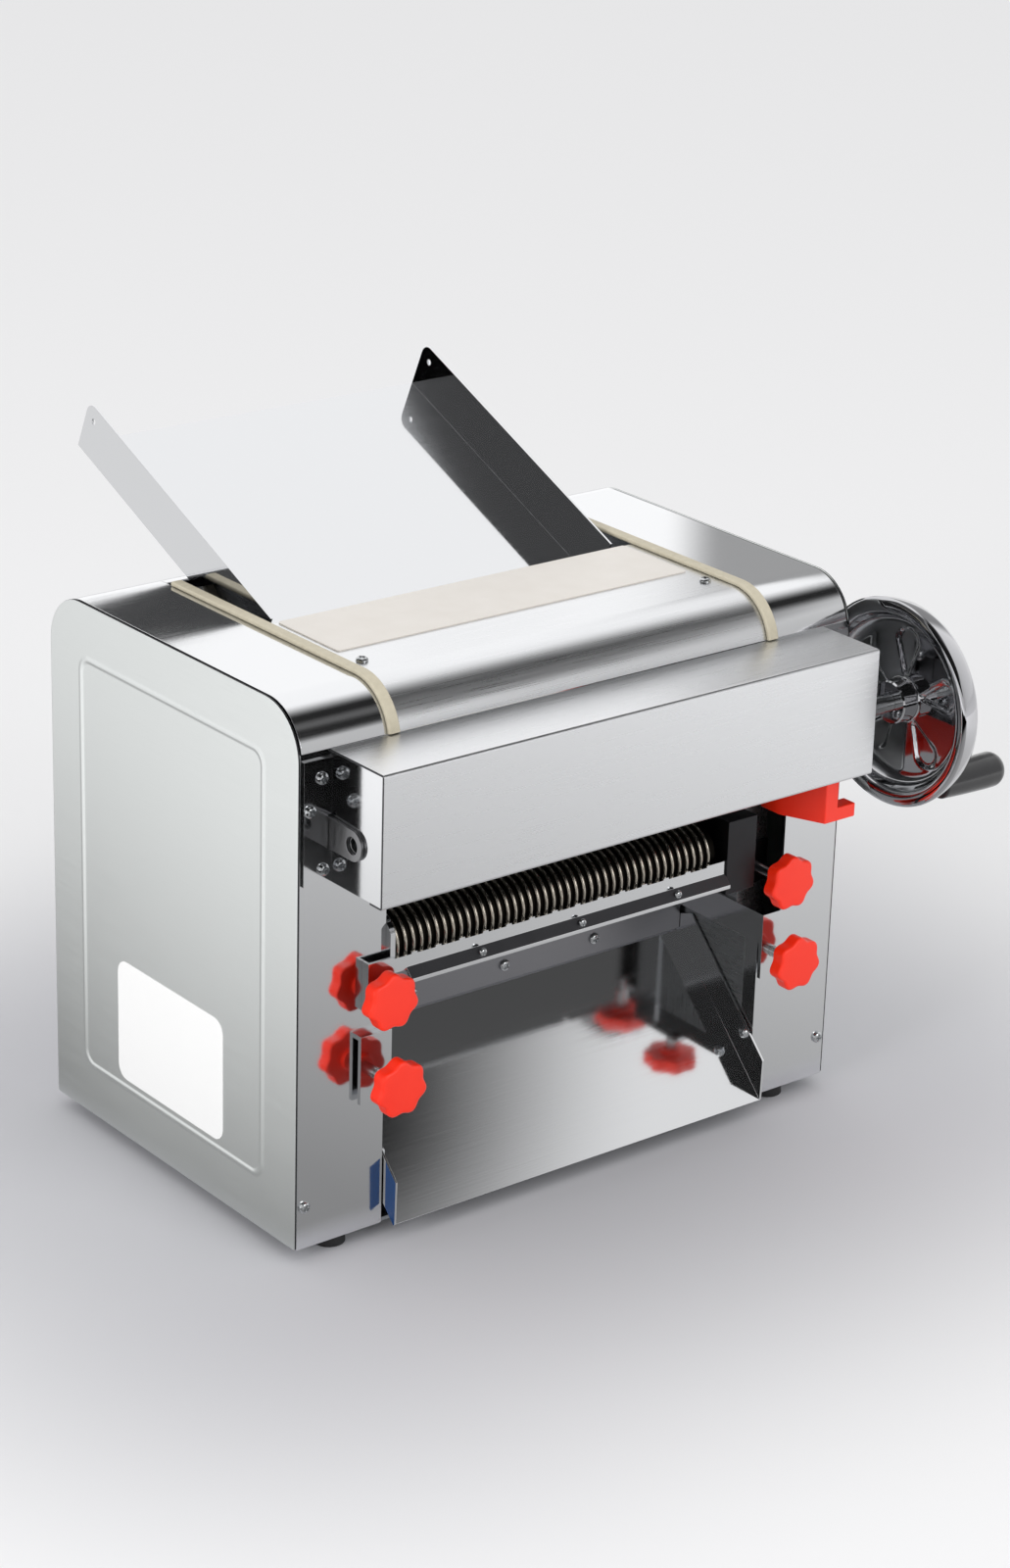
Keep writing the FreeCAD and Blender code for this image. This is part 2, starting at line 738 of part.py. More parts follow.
grip_end = [edge for edge in grip_body.Edges
            if edge.CenterOfMass.x > grip_x1 - grip_dome and len(edge.Vertexes) == 1]
grip_body = grip_body.makeFillet(grip_dome, grip_end)
grip_bore = joined(rod_x(grip_bolt_diameter / 2 + running, grip_x0 - overrun, bolt_end, *grip_axis),
                   rod_x(grip_head_diameter / 2 + running, bolt_end - grip_head_height - sliding,
                         bolt_end + sliding, *grip_axis))
keep("wheel_grip", grip_body.cut(grip_bore))


def adjusting_arm(front_eye):
    """A flat link: its front eye lets the shaft be seen or pass, the rear eye turns on the roller journal."""
    plate = loop_slab(arm_x0, arm_x1, adjuster_axis, arm_eye_radius, front_axis, rear_eye_radius)
    eye = rod_x(journal_diameter / 2 + running, arm_x0 - overrun, arm_x1 + overrun, *front_axis)
    pin = rod_x(pin_diameter / 2, arm_x0, cam_x1, pin_y, pin_z)
    return joined(plate.cut([front_eye, eye]), pin)


sight_hole_diameter = 9.0
sight_hole = rod_x(sight_hole_diameter / 2, arm_x0 - overrun, arm_x1 + overrun, *adjuster_axis)
shaft_room = adjuster_diameter / 2 + clear
shaft_slot = loop_slab(arm_x0 - overrun, arm_x1 + overrun, adjuster_axis, shaft_room,
                       (adjuster_axis[0] + gap_travel, adjuster_axis[1]), shaft_room)
keep("adjusting_arms", adjusting_arm(sight_hole), mirrored(adjusting_arm(shaft_slot)))

# Press rollers, their blocks and bearings
block_overhang = 2.0


def block():
    body = box(frame_face - block_overhang, inner + block_overhang,
               front_axis[0] - block_size / 2, front_axis[0] + block_size / 2,
               front_axis[1] - block_size / 2, front_axis[1] + block_size / 2)
    return body.cut(rod_x(journal_diameter / 2 + running, left, 0, *front_axis))


def rear_bearing():
    ring = rod_x(bearing_diameter / 2, frame_face - block_overhang, inner + block_overhang, *rear_axis)
    flange = rod_x(bearing_flange / 2, frame_face - block_overhang, frame_face, *rear_axis)
    return joined(ring, flange).cut(rod_x(journal_diameter / 2 + running, left, 0, *rear_axis))


keep("front_bearing_blocks", block(), mirrored(block()))
bearings = [rear_bearing(), mirrored(rear_bearing())]
barrel = roller_length / 2
front_barrel = rod_x(roller_diameter / 2, -barrel, barrel, *front_axis)
front_journals = rod_x(journal_diameter / 2, journal_end, -journal_end, *front_axis)
keep("front_press_roller", joined(front_barrel, front_journals))
rear_barrel = rod_x(roller_diameter / 2, -barrel, barrel, *rear_axis)
rear_journals = rod_x(journal_diameter / 2, gear_x0 - 2 * arm_thickness, sprocket_x1 + arm_thickness,
                      *rear_axis)
keep("rear_press_roller", joined(rear_barrel, rear_journals))
keep("front_roller_gear", gear(roller_teeth, roller_module, roller_gear_x0, roller_gear_x1, front_axis, 0,
                               journal_diameter))
keep("rear_roller_gear", gear(roller_teeth, roller_module, roller_gear_x0, roller_gear_x1, rear_axis,
                              180 + 180 / roller_teeth, journal_diameter))
keep("big_gear", gear(big_teeth, roller_module, gear_x0, gear_x1, rear_axis, counter_angle, journal_diameter))
pinion = gear(pinion_teeth, roller_module, gear_x0, gear_x1, counter_axis,
              counter_angle + 180 + 180 / pinion_teeth, shaft_diameter)

# Scrapers rest against the undersides of the press rollers
scraper_thickness = 2.0
scraper_height = 16.0
scraper_drop = 6.0


def scraper(center):
    """An upright blade whose edge stands just under the roller."""
    z1 = center[1] - roller_diameter / 2 - clear
    blade = box(inner, -inner, center[0] - scraper_thickness / 2, center[0] + scraper_thickness / 2,
                z1 - scraper_height, z1)
    lip = box(inner, -inner, center[0] - scraper_drop / 2, center[0] + scraper_drop / 2,
              z1 - scraper_height - scraper_thickness, z1 - scraper_height)
    return joined(blade, lip)


keep("roller_scrapers", scraper((front_axis[0] - gap_travel / 2, front_axis[1])), scraper(rear_axis))

# Countershaft with its bearing, the belt drive and the motor
bearing_length = 30.0
bearing_floor = 5.0
counter_flange_diameter = 40.0
shaft_stub = 2.0
counter_x1 = inner + bearing_length - bearing_floor
counter_shaft = rod_x(shaft_diameter / 2, pulley_start - shaft_stub, counter_x1, *counter_axis)
keep("countershaft", counter_shaft, pinion)
bearing_tube = joined(rod_x(counter_bearing_diameter / 2, frame_face, inner + bearing_length, *counter_axis),
                      rod_x(counter_flange_diameter / 2, frame_face - block_overhang, frame_face,
                            *counter_axis))
counter_bore = rod_x(shaft_diameter / 2 + running, left, counter_x1 + sliding, *counter_axis)
bearings.append(bearing_tube.cut(counter_bore))


def pulley(radius, center):
    """A pulley with one groove for the belt."""
    wall = (pulley_width - belt_width) / 2 - clear
    floor_radius = radius - belt_height - 2 * clear
    profile = [(0, 0), (pulley_width, 0), (pulley_width, radius), (pulley_width - wall, radius),
               (pulley_width - wall, floor_radius), (wall, floor_radius), (wall, radius), (0, radius)]
    return turned(profile, pulley_start, center).cut(rod_x(shaft_diameter / 2 + running, left, 0, *center))


def belt_outline(lift, width):
    x0 = pulley_start + (pulley_width - width) / 2
    big = big_pulley_diameter / 2 - belt_height - clear + lift
    small = small_pulley_diameter / 2 - belt_height - clear + lift
    return loop_slab(x0, x0 + width, counter_axis, big, motor_axis, small)


keep("driven_pulley", pulley(big_pulley_diameter / 2, counter_axis))
keep("drive_belt", belt_outline(belt_height - clear, belt_width).cut(belt_outline(0, belt_width + overrun)))

motor_x0 = inner + 36.0
motor_x1 = motor_x0 + motor_length
motor_nose = 34.0
motor_cap = 16.0
cradle_width = 90.0
cradle_length = 60.0
fin_count = 7
fin_height = 3.0
motor_core = rod_x(motor_diameter / 2 - fin_height, motor_x0, motor_x1, *motor_axis)
motor_caps = [rod_x(motor_diameter / 2, x, x + motor_cap, *motor_axis)
              for x in (motor_x0, motor_x1 - motor_cap)]
fin_pitch = (motor_length - 2 * motor_cap) / (fin_count + 1)
motor_fins = [rod_x(motor_diameter / 2, motor_x0 + motor_cap + fin_pitch * number - fin_height / 2,
                    motor_x0 + motor_cap + fin_pitch * number + fin_height / 2, *motor_axis)
              for number in range(1, fin_count + 1)]
motor_boss = rod_x(motor_nose / 2, motor_x0 - motor_cap, motor_x0, *motor_axis)
motor_bore = rod_x(shaft_diameter / 2 + running, left, motor_x1 - motor_cap, *motor_axis)
motor_body = joined(motor_core, motor_boss, *motor_caps, *motor_fins).cut(motor_bore)
motor_shaft = rod_x(shaft_diameter / 2, pulley_start - shaft_stub, motor_x1 - 2 * motor_cap, *motor_axis)
keep("motor_shaft", motor_shaft, pulley(small_pulley_diameter / 2, motor_axis))
motor_middle = (motor_x0 + motor_x1) / 2
cradle = box(motor_middle - cradle_length / 2, motor_middle + cradle_length / 2,
             motor_axis[0] - cradle_width / 2, motor_axis[0] + cradle_width / 2,
             floor, motor_axis[1] - motor_diameter / 4)
keep("motor_cradle", cradle.cut(rod_x(motor_diameter / 2 + sliding, left, -left, *motor_axis)))
capacitor_diameter = 36.0
capacitor_height = 62.0
capacitor_gap = 24.0
capacitor = rod_z(capacitor_diameter / 2, motor_x1 + capacitor_gap, motor_axis[0],
                  floor, floor + capacitor_height)
keep("motor_housing", motor_body, capacitor)

# Cutter unit: two grooved rollers that mesh, in an end plate at the left and a gear case at the right
cutter_gap = 4.5
cutter_x0 = inner + cutter_gap
cutter_x1 = cutter_x0 + cutter_length
cutter_journal_diameter = 10.0
end_plate_thickness = 3.0
case_gap = 4.0
case_x0 = cutter_x1 + case_gap
case_width = 20.0
case_x1 = case_x0 + case_width
case_wall = 2.0
case_radius = 20.0
dog_gap = 1.0
dog_diameter = 20.0
dog_length = 6.0
dog_start_gap = 3.5
dog_slack = 0.4
tongue_thickness = 6.0
dog_x0 = case_x1 + dog_start_gap
dog_x1 = dog_x0 + dog_length


def cutter_roller(center, first_ridge, shaft_end):
    """Ridges at a steady pitch. The other roller has its ridges where this one has grooves."""
    outer = cutter_diameter / 2
    core = rod_x(outer - groove_depth, cutter_x0, cutter_x1, *center)
    count = int((cutter_length - first_ridge - cutter_ridge) / cutter_pitch) + 1
    ridge_starts = [cutter_x0 + first_ridge + number * cutter_pitch for number in range(count)]
    ridges = [rod_x(outer, x, x + cutter_ridge, *center) for x in ridge_starts]
    shaft = rod_x(cutter_journal_diameter / 2, inner + sliding, shaft_end, *center)
    return joined(core, shaft, *ridges)


edge_land = 0.4
half_step = cutter_pitch / 2
front_cutter = cutter_roller(cutter_front_axis, edge_land, case_x1 - case_wall - sliding)
rear_cutter = cutter_roller(cutter_rear_axis, edge_land + half_step, case_x1 + dog_gap)
tongue = box(case_x1 + dog_gap, dog_x0 + dog_length / 2, cutter_rear_axis[0] - cutter_journal_diameter / 2,
             cutter_rear_axis[0] + cutter_journal_diameter / 2,
             cutter_rear_axis[1] - tongue_thickness / 2, cutter_rear_axis[1] + tongue_thickness / 2)
cutter_gear_x0 = case_x0 + case_wall + 2 * clear
cutter_gear_x1 = case_x1 - case_wall - 2 * clear
keep("front_cutter_roller", front_cutter, gear(cutter_teeth, cutter_module, cutter_gear_x0, cutter_gear_x1,
                                               cutter_front_axis, cutter_tilt, cutter_journal_diameter))
keep("rear_cutter_roller", joined(rear_cutter, tongue),
     gear(cutter_teeth, cutter_module, cutter_gear_x0, cutter_gear_x1, cutter_rear_axis,
          cutter_tilt + 180 + 180 / cutter_teeth, cutter_journal_diameter))
bores = [rod_x(cutter_journal_diameter / 2 + running, left, -left, *center)
         for center in (cutter_front_axis, cutter_rear_axis)]
case_block = box(case_x0, case_x1, cutter_front_axis[0] - case_radius - sliding,
                 cutter_rear_axis[0] + case_radius, cutter_rear_axis[1] - case_radius,
                 cutter_front_axis[1] + case_radius + sliding)
case_cavity = loop_slab(case_x0 + case_wall, case_x1 - case_wall,
                        cutter_front_axis, case_radius - case_wall + sliding,
                        cutter_rear_axis, case_radius - case_wall)
blind_front = rod_x(cutter_journal_diameter / 2 + running, left, case_x1 - case_wall, *cutter_front_axis)
ear_bottom = upper_knob_z - 2 * stud_diameter
ear = box(case_x1 - case_wall, knob_spread + 2 * stud_diameter,
          front + recess_depth - recess_plate, front + recess_depth,
          ear_bottom, upper_knob_z + 2 * stud_diameter)
ear_hole = rod_y(stud_diameter / 2 + sliding, knob_spread, front, front + 2 * recess_depth, upper_knob_z)
case_shell = joined(case_block, ear).cut([case_cavity, blind_front, bores[1], ear_hole])
keep("cutter_gear_case", case_shell)

# Comb in front of the front cutter roller: an upright strip with low teeth, an apron that slopes at 45
# degrees and a lip below
comb_gap = 1.0
comb_thickness = 1.5
comb_top_drop = 2.2
comb_height = 8.9
comb_reach = 4.8
comb_lip = 2.1
comb_overlap = 14.4
comb_x0 = inner - comb_overlap
comb_y1 = cutter_front_axis[0] - cutter_diameter / 2 - comb_gap
comb_y0 = comb_y1 - comb_thickness
comb_z1 = cutter_z - comb_top_drop
comb_z0 = comb_z1 - comb_height
apron_x0 = knob_diameter / 2 + comb_gap - knob_spread
apron_y = comb_y0 - comb_reach
apron_z = comb_z0 + comb_thickness - comb_reach
comb_notch_pitch = 3 * cutter_pitch
comb_tooth = 3.5
comb_notch_depth = 1.0
end_plate_x1 = inner + sliding + end_plate_thickness
comb_tab_drop = 27.0
comb_tab_width = 14.0
comb_screw_count = 3
comb_screw_pitch = 65.0
comb_screw_inset = 35.4
comb_screw_x = [case_x0 - comb_screw_inset - number * comb_screw_pitch for number in range(comb_screw_count)]


def comb():
    strip = box(comb_x0, case_x0, comb_y0, comb_y1, comb_z0, comb_z1)
    notch_count = int(cutter_length / comb_notch_pitch)
    notch_starts = [cutter_x0 - comb_tooth + comb_notch_pitch * number for number in range(notch_count)]
    notches = [box(x, x + comb_notch_pitch - comb_tooth, comb_y0 - overrun, comb_y1 + overrun,
                   comb_z1 - comb_notch_depth, comb_z1 + overrun) for x in notch_starts]
    strip = strip.cut(notches)
    slope = [(comb_y0, comb_z0 + comb_thickness), (comb_y1, comb_z0 + comb_thickness),
             (comb_y1, comb_z0), (apron_y + comb_thickness, apron_z - comb_thickness),
             (apron_y + comb_thickness, apron_z - comb_lip), (apron_y, apron_z - comb_lip),
             (apron_y, apron_z)]
    apron = slab(slope, apron_x0, case_x0)
    tab_bottom = comb_z1 - comb_tab_drop
    tab = box(comb_x0, comb_x0 + comb_tab_width, comb_y0, comb_y1, tab_bottom, comb_z1)
    tab_side = box(comb_x0, comb_x0 + comb_thickness, comb_y0, front, tab_bottom, comb_z1)
    stud_hole = rod_y(stud_diameter / 2 + sliding, -knob_spread, front - box_depth, front, upper_knob_z)
    return joined(strip, apron, tab, tab_side).cut(stud_hole)


keep("front_comb", comb())
comb_screw_y = comb_y0 - comb_reach / 2
comb_screw_z = apron_z + comb_reach / 2
comb_head_diameter = 4.6
comb_heads = [rod_y(comb_head_diameter / 2, x, comb_screw_y - comb_thickness, comb_screw_y, comb_screw_z)
              for x in comb_screw_x]
screws += [head.cut(nodes["front_comb"]).Solids[-1] for head in comb_heads]

# The left end plate of the cutter unit, flat in front against the comb, carries the rear comb as well
rear_comb_y0 = cutter_rear_axis[0] + cutter_diameter / 2 + comb_gap
end_plate = loop_slab(inner + sliding, end_plate_x1, cutter_front_axis, case_radius + sliding,
                      cutter_rear_axis, case_radius)
end_plate = end_plate.cut(bores + [box(left, 0, front - box_depth, comb_y1, base, top)])
rear_comb = box(inner + sliding, case_x0, rear_comb_y0, rear_comb_y0 + comb_thickness,
                cutter_rear_axis[1] - case_radius / 2, cutter_rear_axis[1])
keep("cutter_end_plate", joined(end_plate, rear_comb))

# Cutter drive: dog, shaft and bearing through the right frame plate, chain and sprockets
drive_shaft_diameter = 10.0
dog_slot = box(dog_x0 - overrun, dog_x0 + dog_length / 2 + clear,
               cutter_rear_axis[0] - dog_diameter, cutter_rear_axis[0] + dog_diameter,
               cutter_rear_axis[1] - tongue_thickness / 2 - dog_slack,
               cutter_rear_axis[1] + tongue_thickness / 2 + dog_slack)
dog = rod_x(dog_diameter / 2, dog_x0, dog_x1, *cutter_rear_axis).cut(dog_slot)
drive_shaft = rod_x(drive_shaft_diameter / 2, dog_x1, sprocket_x1 + arm_thickness, *cutter_rear_axis)
drive_flange_diameter = 24.0
drive_bearing = joined(rod_x(cutter_bearing_diameter / 2, dog_x1 + sliding, -frame_face + roller_gear_gap,
                             *cutter_rear_axis),
                       rod_x(drive_flange_diameter / 2, -frame_face, -frame_face + block_overhang,
                             *cutter_rear_axis))
bearings.append(drive_bearing.cut(rod_x(drive_shaft_diameter / 2 + running, 0, -left, *cutter_rear_axis)))
keep("shaft_bearings", *bearings)
chain_inner = sprocket_teeth * sprocket_module / 2 + sprocket_module + clear
chain_thickness = 2.7
chain_width = 3.0


def sprocket(center, bore):
    return gear(sprocket_teeth, sprocket_module, sprocket_x0, sprocket_x1, center, 0, bore)


chain_x0 = (sprocket_x0 + sprocket_x1 - chain_width) / 2
chain_outer = chain_inner + chain_thickness
chain_loop = loop_slab(chain_x0, chain_x0 + chain_width, rear_axis, chain_outer,
                       cutter_rear_axis, chain_outer)
chain_hole = loop_slab(chain_x0 - overrun, chain_x0 + overrun, rear_axis, chain_inner,
                       cutter_rear_axis, chain_inner)
keep("drive_chain", chain_loop.cut(chain_hole))
keep("roller_sprocket", sprocket(rear_axis, journal_diameter))
keep("cutter_drive_shaft", joined(dog, drive_shaft), sprocket(cutter_rear_axis, drive_shaft_diameter))

# Sheet guide from under the press rollers to the cutter rollers
guide_rear = (rear_axis[0] - scraper_drop, rear_axis[1] - roller_diameter / 2 - scraper_height - scraper_drop)
guide_front = (cutter_rear_axis[0] + cutter_diameter / 4, cutter_rear_axis[1] + case_radius + 4 * comb_gap)
guide_slope = math.atan2(guide_rear[1] - guide_front[1], guide_rear[0] - guide_front[0])
guide_dip = (sheet * math.sin(guide_slope), -sheet * math.cos(guide_slope))
guide_points = [guide_front, guide_rear, (guide_rear[0] + guide_dip[0], guide_rear[1] + guide_dip[1]),
                (guide_front[0] + guide_dip[0], guide_front[1] + guide_dip[1])]
keep("sheet_guide", slab(guide_points, inner, -inner))

# Lower cross bar: two tabs in front of the panels, long webs along the frame plates and a plate across at
# the back that stands over the tray
tab_overlap = 17.8
tab_width = 19.1
tab_fall = 14.5
tab_rise = 23.1
tab_front = 4.8
tab_thickness = 2.5
web_rise = 5.6
cross_fall = 7.9
cross_depth = 62.1
cross_screw_pitch = 62.0
cross_screw_x = [-cross_screw_pitch, 0, cross_screw_pitch]
cross_screw_rise = 9.0
tab_x0 = inner - tab_overlap
tab_z0 = lower_knob_z - tab_fall
tab_z1 = lower_knob_z + tab_rise
web_z0 = lower_knob_z + web_rise
cross_y0 = front + cross_depth
cross_y1 = cross_y0 + tab_thickness
cross_z0 = lower_knob_z - cross_fall
cross_screw_z = cross_z0 + cross_screw_rise
cross_half = tray_side - sheet - clear


def cross_bar():
    tab = box(tab_x0, tab_x0 + tab_width, front - tab_front, front - tab_front + tab_thickness,
              tab_z0, tab_z1)
    roof = box(tab_x0, tab_x0 + tab_width, front - tab_front, front,
               tab_z1 - tab_thickness, tab_z1)
    web = box(inner + sliding, tab_x0 + tab_width, front - tab_front, cross_y1, web_z0, tab_z1)
    hole = rod_y(stud_diameter / 2 + sliding, -knob_spread, front - box_depth, front, lower_knob_z)
    end = joined(tab, roof, web).cut(hole)
    plate = box(-cross_half, cross_half, cross_y0, cross_y1, cross_z0, tab_z1)
    shoulders = box(inner + sliding, -inner - sliding, cross_y0, cross_y1, web_z0, tab_z1)
    bar = joined(end, mirrored(end), plate, shoulders)
    holes = [rod_y(hole_radius, x, front, 0, cross_screw_z) for x in cross_screw_x]
    return bar.cut(holes)


keep("cross_bar", cross_bar())
screws += [screw_y(x, cross_y0, cross_screw_z, 2 * tab_thickness, 1) for x in cross_screw_x]

# Outfeed tray: a sloping sheet with two upright side flanges, folded straight up at its rear edge
tray_back_height = 44.0
tray_dip = (sheet * math.sin(tray_slope), -sheet * math.cos(tray_slope))


def tray():
    low = (tray_front_y, tray_front_z)
    high = (low[0] + tray_run, low[1] + tray_rise)
    floor_part = slab([low, high, (high[0] + tray_dip[0], high[1] + tray_dip[1]),
                       (low[0] + tray_dip[0], low[1] + tray_dip[1])], -tray_side, tray_side)
    wall = box(-tray_side, tray_side, high[0], high[0] + tray_dip[0],
               high[1] + tray_dip[1], high[1] + tray_back_height)
    tip = (low[0] - sheet / 2, low[1] + tray_lift - sheet)
    shoulder = (high[0] - tray_flange, high[1] + tray_flange / 3)
    side = slab([low, tip, shoulder, high], -tray_side, -tray_side + sheet)
    side = side.cut(tray_screw_hole)
    return joined(floor_part, wall, side, mirrored(side))


keep("outfeed_tray", tray())


def tray_screw():
    face = -tray_side + sheet
    place = (front + tray_screw_depth, tray_screw_z)
    head = rod_x(screw_head_diameter / 2, face, face + screw_head_height, *place)
    return joined(head, rod_x(screw_shank_diameter / 2, face - tray_screw_depth, face, *place))


screws += [tray_screw(), mirrored(tray_screw())]
keep("panel_screws", *screws)

# Star knobs on studs
knob_lobes = 7
lobe_share = 0.07
lobe_steps = 8
hub_width = 12.0
stud_end = 2.4
knob_hub_length = 2.5
knob_places = {"upper_left": (-knob_spread, upper_knob_z, upper_knob_face),
               "upper_right": (knob_spread, upper_knob_z, upper_knob_face),
               "lower_left": (-knob_spread, lower_knob_z, lower_knob_face),
               "lower_right": (knob_spread, lower_knob_z, lower_knob_face)}


def star_knob(x, z, face_reach):
    """A lobed disc with a short round hub behind it, bored blind for the stud."""
    face_y = front - face_reach
    mean = knob_diameter / 2 * (1 - lobe_share)
    count = knob_lobes * lobe_steps
    points = []
    for number in range(count):
        angle = number * math.tau / count + math.pi / 2
        radius = mean * (1 + lobe_share * math.cos(number * math.tau / lobe_steps))
        points.append(vec(x + radius * math.cos(angle), face_y, z + radius * math.sin(angle)))
    curve = Part.BSplineCurve()
    curve.interpolate(Points=points, PeriodicFlag=True)
    disc = Part.Face(Part.Wire(curve.toShape())).extrude(vec(0, knob_thickness, 0))
    back_y = face_y + knob_thickness
    hub = rod_y(hub_width / 2, x, back_y, back_y + knob_hub_length, z)
    bore = rod_y(stud_diameter / 2 + running, x, face_y + stud_end, front, z)
    return joined(disc, hub).cut(bore)


def stud(x, z, face_reach, root):
    return rod_y(stud_diameter / 2, x, front - face_reach + stud_end + clear, root, z)


for name, (x, z, face_reach) in knob_places.items():
    keep(name + "_knob", star_knob(x, z, face_reach))
stud_roots = {"upper_left": front, "upper_right": front + recess_depth + recess_plate,
              "lower_left": front, "lower_right": front}
keep("knob_studs", *[stud(x, z, reach, stud_roots[name]) for name, (x, z, reach) in knob_places.items()])

# Red lever under the front box, on a pin between two ears behind the notch
lever_pivot_depth = 10.0
lever_pivot_drop = 15.4
lever_drop = 29.4
lever_gap = 4.4
lever_bend = 5.0
lever_inset = 5.7
lever_pivot = (front + lever_pivot_depth, box_z0 - lever_pivot_drop)
lever_z0 = box_z0 - lever_drop
lever_z1 = box_z0 - lever_gap
lever_x = lever_inset - inner
lever_width = 9.0
lever_swing_x = 11.0
lever_reach = 29.0
lever_foot = 12.6
lever_foot_height = 7.7
lever_foot_depth = 9.0
lever_hub_radius = 8.0
lever_pin_diameter = 5.0
ear_gap = 0.4
ear_thickness = 1.6
lever_ear_half = 8.0


def red_lever():
    """The arm has a round hub, leaves the notch, leans to the right and ends in a thumb foot."""
    outline = [(lever_x, lever_pivot[0]), (lever_x, front - lever_bend),
               (lever_x + lever_swing_x, front - lever_reach),
               (lever_x + lever_swing_x + lever_width, front - lever_reach),
               (lever_x + lever_width, front - lever_bend), (lever_x + lever_width, lever_pivot[0])]
    corners = [vec(x, y, lever_z0) for x, y in outline]
    arm = Part.Face(Part.makePolygon(corners + corners[:1])).extrude(vec(0, 0, lever_z1 - lever_z0))
    hub = rod_x(lever_hub_radius, lever_x, lever_x + lever_width, *lever_pivot)
    foot = box(lever_x + lever_swing_x + lever_width / 2, lever_x + lever_swing_x + lever_width + lever_foot,
               front - lever_reach, front - lever_reach + lever_foot_depth,
               lever_z0, lever_z0 + lever_foot_height)
    bore = rod_x(lever_pin_diameter / 2 + running, 0, -left, *lever_pivot)
    return joined(arm, hub, foot).cut(bore)


def lever_ear(x0):
    wall_y = front + recess_depth
    return box(x0, x0 + ear_thickness, lever_pivot[0] - lever_ear_half, wall_y,
               lever_pivot[1] - lever_ear_half, lever_pivot[1] + lever_ear_half).cut(
                   rod_x(lever_pin_diameter / 2 + running, 0, -left, *lever_pivot))


ear_x = (lever_x - ear_gap - ear_thickness, lever_x + lever_width + ear_gap)
keep("red_lever", red_lever())
lever_pin = rod_x(lever_pin_diameter / 2, ear_x[0] - ear_gap, ear_x[1] + ear_thickness + ear_gap,
                  *lever_pivot)
keep("lever_mount", lever_pin, *[lever_ear(x0) for x0 in ear_x])

# Rear switch with a rocker, and the gland for the cable
switch_frame = 3.0
switch_depth = 9.0
switch_wall = 2.0
rocker_gap = 0.5
rocker_axis_y = back - switch_depth / 3
rocker_width = switch_height - 2 * switch_wall - 2 * rocker_gap
rocker_pin = 1.5


def switch_body():
    block_part = box(switch_x - switch_width / 2, switch_x + switch_width / 2, back - switch_depth, back,
                     switch_z - switch_height / 2, switch_z + switch_height / 2)
    rim_x = switch_width / 2 + switch_frame / 2
    rim_z = switch_height / 2 + switch_frame / 2
    rim = box(switch_x - rim_x, switch_x + rim_x, back, back + switch_frame / 2,
              switch_z - rim_z, switch_z + rim_z)
    well = box(switch_x - switch_width / 2 + switch_wall, switch_x + switch_width / 2 - switch_wall,
               back - switch_depth + switch_wall, back + overrun,
               switch_z - switch_height / 2 + switch_wall, switch_z + switch_height / 2 - switch_wall)
    pivot = rod_z(rocker_pin, switch_x, rocker_axis_y,
                  switch_z - switch_height / 2, switch_z + switch_height / 2)
    return joined(block_part, rim).cut(well).fuse(pivot).removeSplitter()


def rocker():
    """A shallow V of two faces that rocks on the pivot."""
    half = switch_width / 2 - switch_wall - 3 * rocker_gap
    z0 = switch_z - rocker_width / 2
    lift = switch_frame
    outline = [(-half, back + lift), (0, back + lift / 3), (half, back + lift / 3), (half, back - lift / 3),
               (0, rocker_axis_y - 2 * rocker_pin), (-half, back)]
    corners = [vec(switch_x + x, y, z0) for x, y in outline]
    body = Part.Face(Part.makePolygon(corners + corners[:1])).extrude(vec(0, 0, rocker_width))
    return body.cut(rod_z(rocker_pin + running, switch_x, rocker_axis_y,
                          z0 - overrun, z0 + rocker_width + overrun))


keep("switch_body", switch_body())
keep("switch_rocker", rocker())
gland_flange = 22.0
gland_length = 12.0
gland_bore = 8.0
gland_tube = joined(rod_y(gland_diameter / 2, gland_x, back - gland_length / 2, back + gland_length, gland_z),
                    rod_y(gland_flange / 2, gland_x, back, back + gland_length / 3, gland_z))
gland_hole = rod_y(gland_bore / 2, gland_x, back - gland_length, back + 2 * gland_length, gland_z)
keep("cable_gland", gland_tube.cut(gland_hole))

os.makedirs("parts", exist_ok=True)
for name, shape in nodes.items():
    shape.exportStep("parts/" + name + ".step")
bounds = Part.makeCompound(list(nodes.values())).BoundBox
print(len(nodes), "nodes, size", round(bounds.XLength, 1), round(bounds.YLength, 1), round(bounds.ZLength, 1))
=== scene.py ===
import math

import bmesh
import bpy
import numpy as np
from mathutils import Matrix, Vector


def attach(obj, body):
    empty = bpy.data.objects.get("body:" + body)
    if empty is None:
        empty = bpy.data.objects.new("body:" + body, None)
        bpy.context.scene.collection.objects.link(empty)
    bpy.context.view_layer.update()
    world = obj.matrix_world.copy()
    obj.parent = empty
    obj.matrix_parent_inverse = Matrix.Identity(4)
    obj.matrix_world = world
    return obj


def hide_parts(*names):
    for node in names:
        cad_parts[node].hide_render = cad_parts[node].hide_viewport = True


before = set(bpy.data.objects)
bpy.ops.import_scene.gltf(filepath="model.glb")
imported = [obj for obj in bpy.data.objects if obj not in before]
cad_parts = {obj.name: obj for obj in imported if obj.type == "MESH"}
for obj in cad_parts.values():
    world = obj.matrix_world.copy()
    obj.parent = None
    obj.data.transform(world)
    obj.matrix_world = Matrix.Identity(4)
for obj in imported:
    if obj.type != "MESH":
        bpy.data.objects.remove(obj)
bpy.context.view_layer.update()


# Side covers. Each is a plate of stainless steel with a pressed bead round its flat field. Its sheared edge
# is folded over, and it closes the end of a housing.
mm = 0.001
body_front, body_back, body_bottom, body_top = -112, 112, 8, 298
edge_radius = 28


